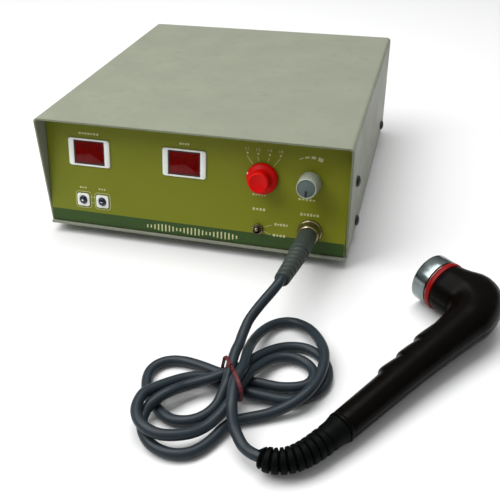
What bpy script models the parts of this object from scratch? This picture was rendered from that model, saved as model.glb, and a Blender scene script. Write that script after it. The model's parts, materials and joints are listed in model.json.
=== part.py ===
"""Ultrasound therapy set: a mains console, a plug-in lead and an angled treatment handpiece.

Frame: +Z up, X along the front of the console, +Y from its front to its back, z = 0 on the table.
Sizes are written in millimetres and become metres where a mesh or an empty is made (MM).
"""
import math

import bmesh
import bpy
import numpy as np
from mathutils import Matrix, Vector

MM = 0.001
GAP = 0.3                                  # clearance left between neighbouring pieces

# Console case
WIDTH, DEPTH, HEIGHT = 240.0, 252.0, 88.0  # outside of the sheet-metal cover
FOOT_HEIGHT = 8.0
SHEET = 1.6
BEND = 3.0                                 # outer radius of the cover's two folded edges
FLOOR = FOOT_HEIGHT + 1.5                  # top of the base tray's floor
INSIDE = WIDTH / 2 - SHEET - GAP           # half width inside the cover
TOP = FOOT_HEIGHT + HEIGHT
SCREWS = ((29.5, 57.0), (43.0, 15.5), (222.0, 19.0))   # (y, z) of the cover screws on each side
FEET = ((-95.0, 34.0), (95.0, 34.0), (-95.0, 226.0), (95.0, 226.0))

# Leaning front panel: its own frame has x across, s up the slope and n out of the face
PANEL_LEAN = math.atan(0.2)
PANEL_ORIGIN = (0.0, -2.8, FOOT_HEIGHT)
PANEL_BOTTOM, PANEL_TOP = 2.4, 87.2
PANEL_FACE, PANEL_BACK = -0.7, -2.2        # n of the steel plate under the printed overlay
OVERLAY = 0.4

# Controls, as (x, s) on the panel
DISPLAYS = {"time": (-82.4, 60.6), "intensity": (-5.6, 60.3)}
BEZEL, WINDOW = (34.0, 21.4), (25.2, 18.6)
BUTTONS = {"up": (-89.6, 22.3), "down": (-73.5, 22.3)}
SQUARE = 10.3
SELECTOR = (54.3, 55.5)
POWER = (89.2, 56.0)
TOGGLE = (52.4, 16.2)
SOCKET = (91.5, 19.0)

# Rear panel: its own frame has u to the left seen from the front, h up and n out of the back
REAR_FACE = DEPTH - 4.0
INLET = (74.0, 30.0)
ROCKER = (30.0, 30.0)
FUSE = (0.0, 30.0)

# Lead and handpiece
CABLE_RADIUS = 3.2
CABLE_STEP = 3.0
PLUG_BODY_END, PLUG_END = 43.0, 82.0       # n where the plug's ribs start and end
TIE_CENTRE = (73.8, -144.7)
TIE_HEADING = math.radians(-56.0)
TIE_REACH = 19.0                           # strands this near to the tie's middle are inside it
SWING_PIVOT = (106.5, -192.4, 9.0)         # where the cable bends into the handle boot
BOOT_HEADING = math.radians(-7.0)          # heading of the boot's mouth, close to the cable's own
NECK = (141.3, -162.2)
NECK_RADIUS = 8.8
BARREL_RADIUS = 16.6
HANDLE_HEADING, HEAD_HEADING = math.radians(56.8), math.radians(138.0)
HANDLE_LENGTH, HEAD_LENGTH = 131.3, 33.8   # neck to corner, and corner to the front of the red seal
CORNER_RADIUS = 19.0
FINGER_STEPS = (42.0, 59.0, 77.0)          # distances from the neck where a finger's rest starts
ELBOW_BULGE = 7.5                          # how far the corner stands out beyond the plain bend
ELBOW_SHIFT, ELBOW_SPREAD = 10.0, 11.0     # how far past the bend's middle, and how gradually
SEAL_RADIUS, SEAL_WIDTH = 17.2, 3.8
HEAD_RADIUS, HEAD_DEPTH = 16.9, 12.2


# ---------------------------------------------------------------- materials

def principled(name, colour, roughness, metallic=0.0):
    material = bpy.data.materials.new(name)
    material.use_nodes = True
    shader = material.node_tree.nodes["Principled BSDF"]
    shader.inputs["Base Color"].default_value = (*colour, 1.0)
    shader.inputs["Roughness"].default_value = roughness
    shader.inputs["Metallic"].default_value = metallic
    return material


def make_materials():
    """Every finish in the set: name, linear colour, roughness, metallic."""
    finishes = (
        ("case_paint", (0.40, 0.43, 0.34), 0.55, 0.0),
        ("zinc_plate", (0.55, 0.55, 0.53), 0.35, 1.0),
        ("overlay_olive", (0.16, 0.17, 0.02), 0.45, 0.0),
        ("white_plastic", (0.75, 0.75, 0.72), 0.35, 0.0),
        ("red_window", (0.20, 0.01, 0.01), 0.10, 0.0),
        ("display_body", (0.05, 0.05, 0.05), 0.50, 0.0),
        ("circuit_board", (0.02, 0.14, 0.05), 0.50, 0.0),
        ("navy_plastic", (0.01, 0.012, 0.03), 0.25, 0.0),
        ("black_plastic", (0.02, 0.02, 0.02), 0.45, 0.0),
        ("red_plastic", (0.60, 0.01, 0.01), 0.30, 0.0),
        ("grey_plastic", (0.14, 0.17, 0.17), 0.40, 0.0),
        ("nickel", (0.60, 0.57, 0.50), 0.22, 1.0),
        ("steel", (0.55, 0.55, 0.55), 0.30, 1.0),
        ("lacquered_copper", (0.60, 0.22, 0.08), 0.35, 0.6),
        ("glass", (0.80, 0.85, 0.85), 0.05, 0.0),
        ("black_screw", (0.01, 0.01, 0.01), 0.35, 0.3),
        ("rubber", (0.015, 0.015, 0.015), 0.75, 0.0),
        ("plug_rubber", (0.045, 0.065, 0.07), 0.60, 0.0),
        ("cable_jacket", (0.028, 0.04, 0.048), 0.45, 0.0),
        ("tie_red", (0.16, 0.03, 0.03), 0.60, 0.0),
        ("handle_black", (0.006, 0.004, 0.003), 0.30, 0.0),
        ("head_metal", (0.70, 0.72, 0.74), 0.18, 1.0),
        ("seal_red", (0.30, 0.012, 0.012), 0.50, 0.0),
        ("ceramic", (0.70, 0.66, 0.55), 0.60, 0.0),
    )
    return {name: principled(name, colour, rough, metal) for name, colour, rough, metal in finishes}


# ---------------------------------------------------------------- outlines

def circle(centre, radius, count=20, start=0.0):
    step = 2 * math.pi / count
    return [(centre[0] + radius * math.cos(start + k * step),
             centre[1] + radius * math.sin(start + k * step)) for k in range(count)]


def rectangle(centre, width, height, corner=0.0, steps=3):
    """A rectangle's outline, anticlockwise, with each corner an arc when corner > 0."""
    if corner == 0.0:
        return [(centre[0] + i * width / 2, centre[1] + j * height / 2)
                for i, j in ((-1, -1), (1, -1), (1, 1), (-1, 1))]
    outline = []
    for quarter, (i, j) in enumerate(((1, 1), (-1, 1), (-1, -1), (1, -1))):
        middle = (centre[0] + i * (width / 2 - corner), centre[1] + j * (height / 2 - corner))
        for k in range(steps + 1):
            turn = (quarter + k / steps) * math.pi / 2
            outline.append((middle[0] + corner * math.cos(turn), middle[1] + corner * math.sin(turn)))
    return outline


def at_height(outline, height):
    return [(x, y, height) for x, y in outline]


# ---------------------------------------------------------------- solids

def loft(rings, closed=False):
    """Skin rings of equal count. Open lofts get end caps, closed ones join last to first."""
    mesh = bmesh.new()
    loops = [[mesh.verts.new(point) for point in ring] for ring in rings]
    pairs = list(zip(loops, loops[1:]))
    if closed:
        pairs.append((loops[-1], loops[0]))
    else:
        mesh.faces.new(loops[0])
        mesh.faces.new(loops[-1])
    for lower, upper in pairs:
        count = len(lower)
        for k in range(count):
            j = (k + 1) % count
            mesh.faces.new((lower[k], lower[j], upper[j], upper[k]))
    return mesh


def turned(profile, segments=20, centre=(0.0, 0.0), closed=False):
    """Revolve (radius, height) points about the vertical through centre."""
    mesh = bmesh.new()
    loops = []
    for radius, height in profile:
        outline = circle(centre, radius, segments) if radius else [centre]
        loops.append([mesh.verts.new((x, y, height)) for x, y in outline])
    pairs = list(zip(loops, loops[1:]))
    if closed:
        pairs.append((loops[-1], loops[0]))
    for lower, upper in pairs:
        for k in range(segments):
            j = (k + 1) % segments
            corners = [lower[k % len(lower)], lower[j % len(lower)],
                       upper[j % len(upper)], upper[k % len(upper)]]
            mesh.faces.new(list(dict.fromkeys(corners)))
    if not closed:
        for loop in (loops[0], loops[-1]):
            if len(loop) > 1:
                mesh.faces.new(loop)
    return mesh


def box(low, high):
    middle = ((low[0] + high[0]) / 2, (low[1] + high[1]) / 2)
    outline = rectangle(middle, high[0] - low[0], high[1] - low[1])
    return loft([at_height(outline, low[2]), at_height(outline, high[2])])


def plate(outline, holes, low, high):
    """A flat sheet between two heights, with holes right through it."""
    mesh = bmesh.new()
    edges = []
    for loop in (outline, *holes):
        verts = [mesh.verts.new((x, y, low)) for x, y in loop]
        edges += [mesh.edges.new((verts[k - 1], verts[k])) for k in range(len(verts))]
    filled = bmesh.ops.triangle_fill(mesh, use_beauty=True, use_dissolve=False, edges=edges)
    faces = [item for item in filled["geom"] if isinstance(item, bmesh.types.BMFace)]
    grown = bmesh.ops.extrude_face_region(mesh, geom=faces, use_keep_orig=True)
    risen = [item for item in grown["geom"] if isinstance(item, bmesh.types.BMVert)]
    bmesh.ops.translate(mesh, verts=risen, vec=(0, 0, high - low))
    return mesh


def swept(points, sections):
    """Carry flat (side, up) sections along a path, turning them with it as little as possible."""
    path = [Vector(point) for point in points]
    tangents = [(path[min(k + 1, len(path) - 1)] - path[max(k - 1, 0)]).normalized()
                for k in range(len(path))]
    side = tangents[0].cross(Vector((0, 0, 1))).normalized()
    rings = []
    for place, tangent, section in zip(path, tangents, sections):
        side = (side - tangent * side.dot(tangent)).normalized()
        up = side.cross(tangent)
        rings.append([place + side * a + up * b for a, b in section])
    return rings


def merged(*meshes):
    """Put separate solids into one mesh, to be used as a cutter or an addition."""
    whole = bmesh.new()
    for mesh in meshes:
        data = bpy.data.meshes.new("part_of_whole")
        bmesh.ops.recalc_face_normals(mesh, faces=mesh.faces)
        mesh.to_mesh(data)
        mesh.free()
        whole.from_mesh(data)
        bpy.data.meshes.remove(data)
    return whole


def moved(mesh, matrix):
    bmesh.ops.transform(mesh, matrix=matrix, verts=mesh.verts)
    return mesh


def facing(direction, place):
    """A matrix that stands a solid built along +Z at place, pointing along direction."""
    turn = Vector((0, 0, 1)).rotation_difference(Vector(direction)).to_matrix().to_4x4()
    return Matrix.Translation(place) @ turn


# ---------------------------------------------------------------- objects

def add(name, mesh, material, frame, pivot=(0, 0, 0), sharp=32):
    """Make a named object from a solid in millimetres, its origin at pivot in its frame."""
    bmesh.ops.recalc_face_normals(mesh, faces=mesh.faces)
    scale = Matrix.Scale(MM, 4) @ Matrix.Translation(-Vector(pivot))
    bmesh.ops.transform(mesh, matrix=scale, verts=mesh.verts)
    data = bpy.data.meshes.new(name)
    mesh.to_mesh(data)
    mesh.free()
    data.materials.append(material)
    data.shade_smooth()
    data.set_sharp_from_angle(angle=math.radians(sharp))
    piece = bpy.data.objects.new(name, data)
    bpy.context.collection.objects.link(piece)
    piece.parent = frame
    piece.location = Vector(pivot) * MM
    return piece


def combine(piece, mesh, operation):
    """Cut a tool solid from a piece, or weld it on, with an exact Boolean."""
    label = f"{piece.name}_{operation.lower()}_tool"
    tool = add(label, mesh, piece.data.materials[0], piece.parent)
    tool.hide_render = True
    tool.display_type = "WIRE"
    boolean = piece.modifiers.new(operation.lower(), "BOOLEAN")
    boolean.operation = operation
    boolean.object = tool
    return piece


def add_empty(name, location, rotation=(0, 0, 0), parent=None):
    empty = bpy.data.objects.new(name, None)
    bpy.context.collection.objects.link(empty)
    empty.location = Vector(location) * MM
    empty.rotation_euler = rotation
    empty.parent = parent
    return empty


# ---------------------------------------------------------------- case

def cover_section():
    """The cover's inverted U in (x, z), outside then inside."""
    def arch(half, base, top, radius):
        right = [(half - radius + radius * math.sin(t), top - radius + radius * math.cos(t))
                 for t in (k * math.pi / 6 for k in range(4))]
        return [(-half, base)] + [(-x, z) for x, z in reversed(right)] + right + [(half, base)]
    outside = arch(WIDTH / 2, FOOT_HEIGHT, TOP, BEND)
    inside = arch(WIDTH / 2 - SHEET, FOOT_HEIGHT, TOP - SHEET, BEND - SHEET)
    return outside + inside[::-1]


def screw_holes(radius):
    rods = []
    for y, z in SCREWS:
        rod = turned([(0, -WIDTH), (radius, -WIDTH), (radius, WIDTH), (0, WIDTH)], 14)
        rods.append(moved(rod, facing((1, 0, 0), (0, y, z))))
    return merged(*rods)


def make_top_cover(frame, mats):
    section = cover_section()
    mesh = loft([[(x, y, z) for x, z in section] for y in (0.0, DEPTH)])
    cover = add("top_cover", mesh, mats["case_paint"], frame)
    combine(cover, screw_holes(2.3), "DIFFERENCE")


def make_base_tray(frame, mats):
    """Floor with two upturned sides, and a small lip along its front edge."""
    half, thick, wall_top, front, back = INSIDE, 1.2, 64.0, 14.0, REAR_FACE - 1.8
    low = FOOT_HEIGHT
    channel = [(-half, low), (half, low), (half, wall_top), (half - thick, wall_top),
               (half - thick, FLOOR), (-half + thick, FLOOR), (-half + thick, wall_top),
               (-half, wall_top)]
    mesh = loft([[(x, y, z) for x, z in channel] for y in (front, back)])
    tray = add("base_tray", mesh, mats["case_paint"], frame)
    edge = [(-4.4, low), (front + 3.0, low), (front + 3.0, FLOOR), (-3.2, FLOOR),
            (-3.2, low + 2.2), (-4.4, low + 2.2)]
    lip = loft([[(x, y, z) for y, z in edge] for x in (-half, half)])
    combine(tray, merged(lip, box((-half, back - 3.0, low), (half, back + 2.8, FLOOR))), "UNION")
    pegs = [turned([(0, 0), (2.9, 0), (2.9, 20), (0, 20)], 16, foot) for foot in FEET]
    combine(tray, merged(*pegs), "DIFFERENCE")
    combine(tray, screw_holes(2.3), "DIFFERENCE")


def make_feet(frame, mats):
    """Push-in rubber feet: a pad, a neck through the floor and a head that grips above it."""
    names = ("foot_front_left", "foot_front_right", "foot_rear_left", "foot_rear_right")
    under, over = FOOT_HEIGHT - GAP, FLOOR + GAP
    profile = [(0, 0), (6.6, 0), (7.2, 0.8), (8.0, under), (2.6, under), (2.6, over),
               (3.8, over), (2.0, over + 3.0), (0, over + 3.0)]
    for name, place in zip(names, FEET):
        add(name, turned(profile, 16, place), mats["rubber"], frame)


def make_cover_screws(frame, mats):
    """Domed screws through the cover into the tray's sides."""
    start = INSIDE - 9.0 - WIDTH / 2
    profile = [(0, start), (1.5, start), (1.9, start + 0.8), (1.9, GAP), (4.2, GAP), (4.1, 1.2),
               (3.2, 2.2), (1.6, 2.7), (0, 2.8)]
    for side, word in ((-1, "left"), (1, "right")):
        for (y, z), spot in zip(SCREWS, ("upper_front", "lower_front", "lower_rear")):
            screw = moved(turned(profile, 12), facing((side, 0, 0), (side * WIDTH / 2, y, z)))
            add(f"cover_screw_{word}_{spot}", screw, mats["black_screw"], frame)


# ---------------------------------------------------------------- front panel

def panel_holes(grow):
    """Openings in the plate; the overlay's are the same ones, grow larger all round."""
    holes = [rectangle(place, 27.2 + 2 * grow, 20.6 + 2 * grow) for place in DISPLAYS.values()]
    holes += [circle(place, 3.3 + grow, 14) for place in BUTTONS.values()]
    holes += [circle(SELECTOR, 4.9 + grow, 18), circle(POWER, 4.5 + grow, 18),
              circle(TOGGLE, 3.3 + grow, 14), circle(SOCKET, 7.9 + grow, 24)]
    return holes


def make_front_panel(panel, mats):
    """Steel plate with four pressed studs that carry the display board."""
    middle = (0, (PANEL_BOTTOM + PANEL_TOP) / 2)
    outline = rectangle(middle, 2 * INSIDE - 0.2, PANEL_TOP - PANEL_BOTTOM)
    steel = plate(outline, panel_holes(0.0), PANEL_BACK, PANEL_FACE)
    front = add("front_panel", steel, mats["zinc_plate"], panel)
    spots = [(x, s) for x in (-107.0, 17.0) for s in (12.0, 78.0)]
    studs = [turned([(0, -11.2), (2.2, -11.2), (2.2, -1.4), (0, -1.4)], 10, spot) for spot in spots]
    combine(front, merged(*studs), "UNION")


def make_front_overlay(panel, mats):
    middle = (0, (PANEL_BOTTOM + PANEL_TOP) / 2)
    outline = rectangle(middle, 2 * INSIDE - 0.4, PANEL_TOP - PANEL_BOTTOM - 0.2)
    add("front_overlay", plate(outline, panel_holes(0.1), -OVERLAY, 0.0), mats["overlay_olive"], panel)


def make_display(panel, mats, word, place):
    """Bezel with a collar into the panel, red window in it and the LED module behind."""
    def ring(size, height, corner):
        return at_height(rectangle(place, *size, corner), height)
    collar = (BEZEL[0] - 7.4, BEZEL[1] - 1.4)
    bezel = loft([ring((BEZEL[0] - 0.6, BEZEL[1] - 0.6), 1.1, 1.2), ring(BEZEL, 0.8, 1.5),
                  ring(BEZEL, GAP, 1.5), ring(collar, GAP, 0.4), ring(collar, -2.6, 0.4),
                  ring(WINDOW, -2.6, 0.4), ring(WINDOW, 1.1, 0.4)], closed=True)
    add(f"{word}_display_bezel", bezel, mats["white_plastic"], panel)
    glass = [(WINDOW[0] - 0.6, WINDOW[1] - 0.6), (-1.4, 0.4)]
    add(f"{word}_display_window", loft([ring(glass[0], height, 0.3) for height in glass[1]]),
        mats["red_window"], panel)
    module = [ring((25.0, 19.0), height, 0.5) for height in (-11.2, -2.9)]
    add(f"{word}_display_module", loft(module), mats["display_body"], panel)


def make_display_board(panel, mats):
    """Board behind the displays, with a tact switch under each button."""
    board = add("display_board", plate(rectangle((-45.0, 45.0), 134.0, 76.0), [], -13.1, -11.5),
                mats["circuit_board"], panel)
    profile = [(0, -12.2), (3.4, -12.2), (3.4, -9.8), (1.7, -9.8), (1.7, -8.8), (0, -8.8)]
    switches = [turned(profile, 12, place) for place in BUTTONS.values()]
    combine(board, merged(*switches), "UNION")


def make_button(panel, mats, word, place):
    """Square printed surround, and a round push button on a stem down to its tact switch."""
    ring = [at_height(rectangle(place, SQUARE, SQUARE, 1.0), GAP),
            at_height(rectangle(place, SQUARE, SQUARE, 1.0), 0.8)]
    hole = [at_height(circle(place, 3.2, 16, math.pi / 16), height) for height in (0.8, GAP)]
    add(f"{word}_button_surround", loft(ring + hole, closed=True), mats["white_plastic"], panel)
    profile = [(0, -7.9), (1.5, -7.9), (1.5, -3.9), (4.2, -3.9), (4.2, -3.0), (2.85, -3.0),
               (2.85, 1.7), (2.4, 2.2), (1.2, 2.4), (0, 2.45)]
    add(f"{word}_button", turned(profile, 14, place), mats["navy_plastic"], panel, (*place, 0))


def hexagon(place, across, low, high, bore):
    """A hexagon nut, six-sided outside and round in its bore."""
    outside = circle(place, across / math.sqrt(3), 6)
    return plate(outside, [circle(place, bore, 18)], low, high)


def make_selector(panel, mats):
    """Rotary mode switch: body and bush, its shaft, and the red skirted knob."""
    body = [(0, -27.0), (13.0, -27.0), (13.0, -3.0), (4.6, -3.0), (4.6, 5.0), (3.3, 5.0),
            (3.3, -12.0), (0, -12.0)]
    add("selector_switch_body", turned(body, 18, SELECTOR), mats["black_plastic"], panel)
    shaft = [(0, -11.5), (3.0, -11.5), (3.0, 12.2), (0, 12.2)]
    add("selector_shaft", turned(shaft, 14, SELECTOR), mats["steel"], panel, (*SELECTOR, 0))
    knob = [(0, 12.6), (3.3, 12.6), (3.3, 5.6), (8.6, 3.6), (8.6, 0.8), (11.7, 0.8), (11.7, 2.6),
            (10.9, 4.4), (8.7, 5.2), (7.8, 6.4), (7.4, 13.4), (6.9, 14.0), (0, 14.2)]
    add("selector_knob", turned(knob, 24, SELECTOR), mats["red_plastic"], panel, (*SELECTOR, 0))


def make_power(panel, mats):
    """Output potentiometer: body and bush, its shaft, and the grey pointer knob."""
    body = [(0, -13.0), (8.2, -13.0), (8.2, -3.0), (4.2, -3.0), (4.2, 5.0), (3.3, 5.0),
            (3.3, -9.0), (0, -9.0)]
    add("power_potentiometer", turned(body, 18, POWER), mats["zinc_plate"], panel)
    shaft = [(0, -8.5), (3.0, -8.5), (3.0, 13.4), (0, 13.4)]
    add("power_shaft", turned(shaft, 14, POWER), mats["steel"], panel, (*POWER, 0))
    knob = [(0, 13.8), (3.3, 13.8), (3.3, 5.8), (6.2, 4.6), (6.2, 0.8), (8.4, 0.8), (8.2, 5.0),
            (7.4, 15.2), (6.9, 15.9), (0, 16.0)]
    add("power_knob", turned(knob, 24, POWER), mats["grey_plastic"], panel, (*POWER, 0))


def make_toggle(panel, mats):
    """Pulse toggle: body, front nut and the lever, resting tilted up."""
    x, s = TOGGLE
    body = add("toggle_switch_body", box((x - 4, s - 6.5, -14.0), (x + 4, s + 6.5, -3.0)),
               mats["black_plastic"], panel)
    bush = [(0, -4.0), (3.0, -4.0), (3.0, 4.2), (2.4, 4.4), (2.4, -1.5), (0, -1.5)]
    combine(body, turned(bush, 16, TOGGLE), "UNION")
    add("toggle_nut", turned([(3.3, GAP), (4.0, GAP), (4.0, 1.8), (3.7, 2.1), (3.3, 2.1)],
                             18, TOGGLE, closed=True), mats["nickel"], panel)
    pivot = (x, s, 0.6)
    lever = turned([(0, -1.3), (1.0, -1.3), (1.0, 0), (1.0, 2.2), (1.5, 4.6), (1.3, 5.6), (0, 6.0)], 12)
    tilt = Matrix.Rotation(math.radians(-14), 4, "X")
    add("toggle_lever", moved(lever, Matrix.Translation(pivot) @ tilt), mats["nickel"], panel, pivot)


def make_socket(panel, mats):
    """Round output socket: flange, threaded barrel through the panel, and its back nut."""
    shell = [(0, -12.0), (7.3, -12.0), (7.3, GAP), (9.3, GAP), (9.3, 1.8), (8.9, 2.3), (7.3, 2.3),
             (7.3, 8.6), (6.4, 9.0), (6.4, -3.0), (0, -3.0)]
    add("output_socket", turned(shell, 24, SOCKET), mats["nickel"], panel)
    add("socket_nut", hexagon(SOCKET, 18.5, -5.0, -2.5, 7.6), mats["nickel"], panel)


# ---------------------------------------------------------------- rear panel

def make_rear_panel(rear, mats):
    """Plate with the mains openings and two rows of cooling slots."""
    height = TOP - SHEET - GAP - FLOOR - GAP
    middle = (0, FLOOR + GAP - FOOT_HEIGHT + height / 2)
    holes = [rectangle(INLET, 27.4, 20.4), rectangle(ROCKER, 13.6, 19.6), circle(FUSE, 6.3, 18)]
    for row in (34.0, 64.0):
        holes += [rectangle((-30.0 - 8.0 * k, row), 3.2, 22.0, 1.4, 1) for k in range(9)]
    outline = rectangle(middle, 2 * INSIDE - 0.2, height, 2.0)
    add("rear_panel", plate(outline, holes, -1.5, 0.0), mats["case_paint"], rear)


def make_mains_inlet(rear, mats):
    """Three-pin inlet: flange, moulded well and the three blades standing in it."""
    def ring(width, height, n, corner):
        return at_height(rectangle(INLET, width, height, corner), n)
    well = loft([ring(26.8, 19.8, -20.0, 1.0), ring(26.8, 19.8, GAP, 1.0), ring(50.0, 24.0, GAP, 3.0),
                 ring(50.0, 24.0, 2.8, 3.0), ring(24.4, 16.6, 2.8, 3.0), ring(24.4, 16.6, -14.0, 3.0)])
    inlet = add("mains_inlet", well, mats["black_plastic"], rear)
    blades = [box((INLET[0] + x - 1, INLET[1] + h - 2, -15.0), (INLET[0] + x + 1, INLET[1] + h + 2, -1.0))
              for x, h in ((-7.0, -1.5), (0.0, 2.5), (7.0, -1.5))]
    combine(inlet, merged(*blades), "UNION")


def make_power_rocker(rear, mats):
    """Rocker switch: framed housing and the rocker on its cross pivot, resting at off."""
    def ring(width, height, n):
        return at_height(rectangle(ROCKER, width, height, 0.8), n)
    housing = [ring(13.0, 19.0, -14.0), ring(13.0, 19.0, GAP), ring(15.4, 21.4, GAP),
               ring(15.4, 21.4, 1.8), ring(10.8, 16.6, 1.8), ring(10.8, 16.6, -10.0)]
    add("rocker_housing", loft(housing), mats["black_plastic"], rear)
    pivot = (*ROCKER, -2.5)
    side = [(-7.1, 4.9), (-7.3, 3.0), (-4.0, -3.4), (4.0, -3.4), (7.3, 3.0), (7.1, 4.9), (0, 3.2)]
    rocker = loft([[(x, h, n) for h, n in side] for x in (-5.0, 5.0)])
    tilt = Matrix.Rotation(math.radians(8), 4, "X")
    add("power_rocker", moved(rocker, Matrix.Translation(pivot) @ tilt), mats["black_plastic"], rear, pivot)


def make_fuse_holder(rear, mats):
    """Panel fuse holder, its bayonet cap and the glass fuse inside."""
    holder = [(0, -32.0), (5.9, -32.0), (5.9, GAP), (8.0, GAP), (8.0, 2.0), (4.9, 2.0),
              (4.9, -30.0), (0, -30.0)]
    add("fuse_holder", turned(holder, 18, FUSE), mats["black_plastic"], rear)
    cap = [(0, -5.5), (4.5, -5.5), (4.5, 2.3), (6.6, 2.3), (6.6, 8.0), (6.0, 8.8), (0, 8.8)]
    lid = add("fuse_cap", turned(cap, 18, FUSE), mats["black_plastic"], rear, (*FUSE, 0))
    slot = box((FUSE[0] - 4.5, FUSE[1] - 0.6, 7.6), (FUSE[0] + 4.5, FUSE[1] + 0.6, 10.0))
    combine(lid, slot, "DIFFERENCE")
    add("fuse", turned([(0, -27.0), (2.6, -27.0), (2.6, -7.0), (0, -7.0)], 12, FUSE), mats["glass"], rear)


# ---------------------------------------------------------------- inside the case

def make_main_board(frame, mats):
    """Driver board on four pillars, carrying its tall parts."""
    low, high = 19.0, 20.6
    board = add("main_board", box((-25.0, 60.0, low), (106.0, 196.0, high)), mats["circuit_board"], frame)
    pillars = [turned([(0, FLOOR + GAP), (3, FLOOR + GAP), (3, low + 0.6), (0, low + 0.6)], 8, (x, y))
               for x in (-20.0, 101.0) for y in (65.0, 191.0)]
    cans = [turned([(0, high - 0.6), (r, high - 0.6), (r, high + tall), (0, high + tall)], 14, place)
            for r, tall, place in ((9.0, 26.0, (-8.0, 170.0)), (6.5, 20.0, (14.0, 174.0)),
                                   (14.0, 11.0, (80.0, 92.0)), (11.0, 9.0, (48.0, 88.0)))]
    chips = [box((x, y, high - 0.6), (x + wide, y + deep, high + 3.5))
             for x, y, wide, deep in ((20.0, 120.0, 14.0, 34.0), (44.0, 124.0, 8.0, 20.0),
                                      (-16.0, 100.0, 8.0, 20.0), (62.0, 128.0, 8.0, 20.0))]
    combine(board, merged(*pillars, *cans, *chips), "UNION")


def make_transformer(frame, mats):
    """Laminated core with two windows, and the winding round its middle leg."""
    centre, base = (-78.0, 200.0), FLOOR + GAP
    stand = Matrix.Translation((centre[0], centre[1], base)) @ Matrix.Rotation(math.radians(90), 4, "X")
    windows = [rectangle((x, 22.0), 9.0, 26.0) for x in (-13.0, 13.0)]
    core = plate(rectangle((0, 22.0), 54.0, 44.0), windows, -11.0, 11.0)
    add("transformer_core", moved(core, stand), mats["steel"], frame)
    outside, bore = rectangle(centre, 34.4, 38.0, 1.0), rectangle(centre, 18.2, 23.2, 1.0)
    low, high = base + 9.4, base + 34.6
    rings = [at_height(outline, height)
             for outline, height in ((outside, low), (outside, high), (bore, high), (bore, low))]
    add("transformer_winding", loft(rings, closed=True), mats["lacquered_copper"], frame)


def make_heat_sink(frame, mats):
    """Finned extrusion, with the output transistor clamped to its flat face."""
    left, right, face, fins, base = 14.0, 80.0, 206.0, 232.0, FLOOR + GAP
    comb = [(left, face), (right, face)]
    count = 8
    pitch = (right - left + 3.0) / count
    for k in range(count):
        x = right - k * pitch
        comb += [(x, fins), (x - 2.4, fins)]
        if k < count - 1:
            comb += [(x - 2.4, face + 5.0), (x - pitch, face + 5.0)]
    comb[-1] = (left, fins)
    add("heat_sink", plate(comb, [], base, base + 52.0), mats["zinc_plate"], frame)
    tab = box((40.0, face - GAP - 1.4, base + 16.0), (50.4, face - GAP, base + 36.0))
    transistor = add("power_transistor", tab, mats["black_plastic"], frame)
    body = box((40.2, face - GAP - 4.6, base + 16.2), (50.2, face - GAP - 1.0, base + 25.5))
    combine(transistor, body, "UNION")


# ---------------------------------------------------------------- lead

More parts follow.
